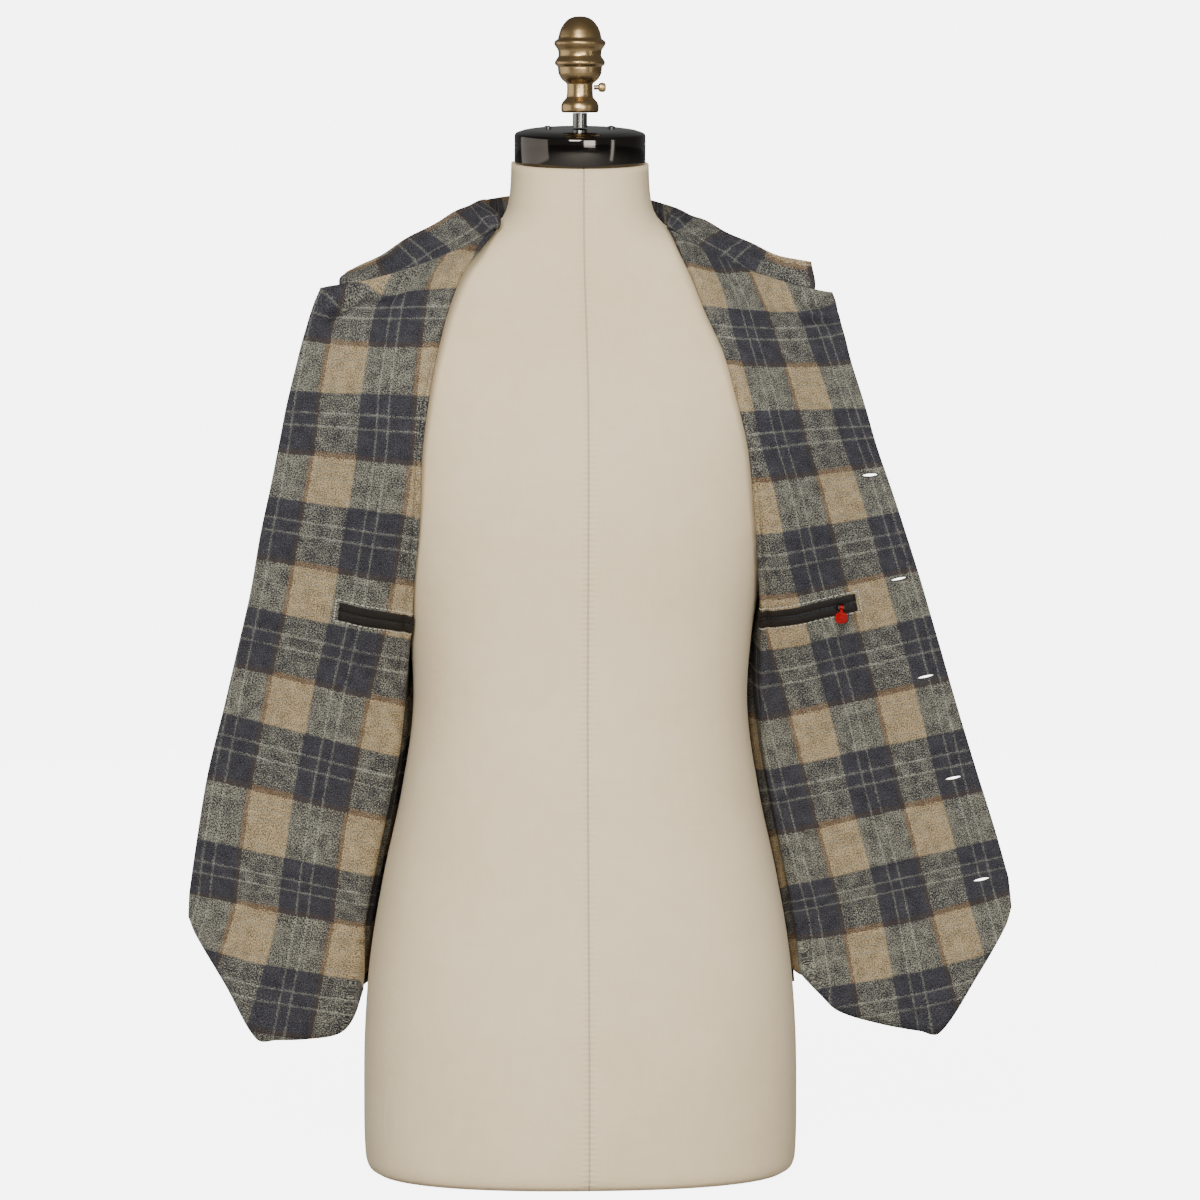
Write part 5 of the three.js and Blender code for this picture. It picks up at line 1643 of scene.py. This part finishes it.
# Height, and how far in from the front edge.
BUTTONS = [(0.576, 0.015), (0.492, 0.017), (0.409, 0.018), (0.323, 0.020), (0.238, 0.022)]
EYE_RADIUS = 0.0009
EYE_ASIDE = 0.0019  # from the button's middle to each of its four eyes, both ways
STRAND = (0.0050, 0.0006, 0.0008)  # length, breadth and height of a thread from eye to eye
STRAND_ASIDE, STRAND_RISE = 0.00035, 0.0027  # the two in each pair lie side by side
HORN_DARK = (0.018, 0.012, 0.009, 1)
HORN_LIGHT = (0.13, 0.075, 0.04, 1)
BUTTON_PROFILE = [
    (0, 0),
    (0.0064, 0),
    (0.0080, 0.0006),
    (0.0088, 0.0014),
    (0.0090, 0.0022),
    (0.0088, 0.0029),
    (0.0083, 0.0034),
    (0.0077, 0.0036),
    (0.0071, 0.0034),
    (0.0066, 0.0029),
    (0.0060, 0.0026),
    (0, 0.0025),
]


def make_horn():
    horn, tree, shader = new_finish("dark horn", Specular_IOR_Level=0.5)
    place = object_place(tree)
    along = node(tree, "ShaderNodeMapping", None, Vector=place, Scale=(1.0, 1.0, 0.25))
    streaks = noise(tree, along.outputs[0], 260.0, 6.0, Distortion=1.4)
    streak = spread(tree, streaks, 0.42, 0.66)
    tree.links.new(mixed(tree, streak, HORN_DARK, HORN_LIGHT), shader.inputs["Base Color"])
    tree.links.new(spread(tree, streaks, 0.3, 0.7, 0.22, 0.36), shader.inputs["Roughness"])
    raise_bump(tree, shader, streaks, 0.0001, 0.2)
    return horn


dark_horn = make_horn()
threads = []
for i, (height, inset) in enumerate(BUTTONS):
    v = edge_at(right_front_place, height)
    u = inset_from_edge(right_front_place, v, inset)
    behind = -CLOTH / 2 - LAID_GAP
    lay_button = placed_on(right_front_place, right_front_facing, u, v, behind)
    lay_button = lay_button @ Matrix.Rotation(math.pi, 4, "X")
    blank = turned(BUTTON_PROFILE, 56)
    blank.transform(lay_button)
    button = fitted(f"horn_button_{i + 1}", blank, dark_horn)
    drills = []
    for x, y in ((-1, -1), (-1, 1), (1, -1), (1, 1)):
        eye = drill(EYE_RADIUS, 16)
        eye.transform(lay_button @ Matrix.Translation((x * EYE_ASIDE, y * EYE_ASIDE, 0.002)))
        drills.append(eye)
    drill_bit = gathered_up("drill", drills, dark_horn)
    cut = button.modifiers.new("holes", "BOOLEAN")
    cut.object, cut.operation, cut.solver = drill_bit, "DIFFERENCE", "EXACT"
    with bpy.context.temp_override(object=button, active_object=button):
        bpy.ops.object.modifier_apply(modifier="holes")
    bpy.data.objects.remove(drill_bit)
    button.data.set_sharp_from_angle(angle=math.radians(40))
    for y in (-1, 1):
        for shift in (-STRAND_ASIDE, STRAND_ASIDE):
            strand = bead_of_thread(STRAND, segments=8, rings=6)
            strand.transform(lay_button @ Matrix.Translation((0, y * EYE_ASIDE + shift, STRAND_RISE)))
            threads.append(strand)
    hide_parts(f"button_{i + 1}")
button_threads = gathered_up("button_threads", threads, dark_thread)


# ---------- studio ----------
# A plain floor and backdrop that look white, two soft lights in front, one above, one behind and
# two reflectors at the sides. The camera is a little to the viewer's left of straight ahead.

ROOM_LIGHT = 0.16  # what the backdrop gives the cloth
SEEN_WHITE = 6.0  # what it and the floor add when looked at
FLOOR_DROP = 0.0005
WHITE = (1.0, 1.0, 1.0, 1)

floor_shape = bmesh.new()
bmesh.ops.create_grid(floor_shape, x_segments=1, y_segments=1, size=15)
floor_mesh = bpy.data.meshes.new("floor")
floor_shape.to_mesh(floor_mesh)
floor_shape.free()
floor = bpy.data.objects.new("floor", floor_mesh)
bpy.context.collection.objects.link(floor)
pale_floor, floor_tree, floor_shader = new_finish("pale floor", Roughness=0.9)
floor_shader.inputs["Base Color"].default_value = (0.40, 0.40, 0.40, 1)
floor.data.materials.append(pale_floor)
floor.location.z = -FLOOR_DROP

world = bpy.data.worlds.new("studio")
world.use_nodes = True
backdrop = world.node_tree.nodes["Background"]
backdrop.inputs["Color"].default_value = WHITE
looked_at = node(world.node_tree, "ShaderNodeLightPath").outputs["Is Camera Ray"]
seen = maths(world.node_tree, "MULTIPLY_ADD", looked_at, SEEN_WHITE, ROOM_LIGHT)
world.node_tree.links.new(seen, backdrop.inputs["Strength"])
floor_looked_at = node(floor_tree, "ShaderNodeLightPath").outputs["Is Camera Ray"]
floor_seen = maths(floor_tree, "MULTIPLY", floor_looked_at, SEEN_WHITE)
floor_tree.links.new(floor_seen, floor_shader.inputs["Emission Strength"])
floor_shader.inputs["Emission Color"].default_value = WHITE
bpy.context.scene.world = world


def soft_light(name, place, aim, size, power, **seen_by):
    """size is width and height. seen_by says which rays it is hidden from, such as glossy=False."""
    light = bpy.data.lights.new(name, "AREA")
    light.shape, light.energy = "RECTANGLE", power
    light.size, light.size_y = size
    lamp = bpy.data.objects.new(name, light)
    lamp.location = place
    lamp.rotation_euler = (Vector(aim) - Vector(place)).to_track_quat("-Z", "Y").to_euler()
    for rays, visible in seen_by.items():
        setattr(lamp, f"visible_{rays}", visible)
    bpy.context.collection.objects.link(lamp)


soft_light("key", (-0.7, -3.3, 1.9), (0, 0, 0.5), (1.2, 1.4), 132)
soft_light("fill", (0.8, -3.4, 1.2), (0, 0, 0.5), (1.2, 1.4), 58)
soft_light("top", (0.0, 0.3, 2.6), (0, 0, 0.6), (1.5, 1.5), 12, glossy=False)
soft_light("back", (0.4, 3.2, 1.6), (0, 0, 0.5), (1.8, 1.8), 90, glossy=False)
# Two reflectors that only the metal mirrors.
soft_light("card", (-2.2, 0.3, 0.6), (0, 0.3, 0.6), (3.0, 2.2), 29, diffuse=False)
soft_light("strip", (1.9, -1.3, 0.6), (0, 0, 0.6), (0.22, 2.2), 5, diffuse=False)

CAMERA_DISTANCE = 5.0
VIEW_WIDTH = 0.984  # metres across the picture, at the form
VIEW_MIDDLE = Vector((0.0164, 0.0, 0.469))
azimuth, elevation = math.radians(-3.5), math.radians(4.0)
back_to_camera = Vector(
    (
        math.sin(azimuth) * math.cos(elevation),
        -math.cos(azimuth) * math.cos(elevation),
        math.sin(elevation),
    )
)
camera_data = bpy.data.cameras.new("camera")
camera_data.lens = camera_data.sensor_width * CAMERA_DISTANCE / VIEW_WIDTH
camera_data.clip_end = 50
camera = bpy.data.objects.new("camera", camera_data)
camera.location = VIEW_MIDDLE + back_to_camera * CAMERA_DISTANCE
camera.rotation_euler = (-back_to_camera).to_track_quat("-Z", "Y").to_euler()
bpy.context.collection.objects.link(camera)
bpy.context.scene.camera = camera
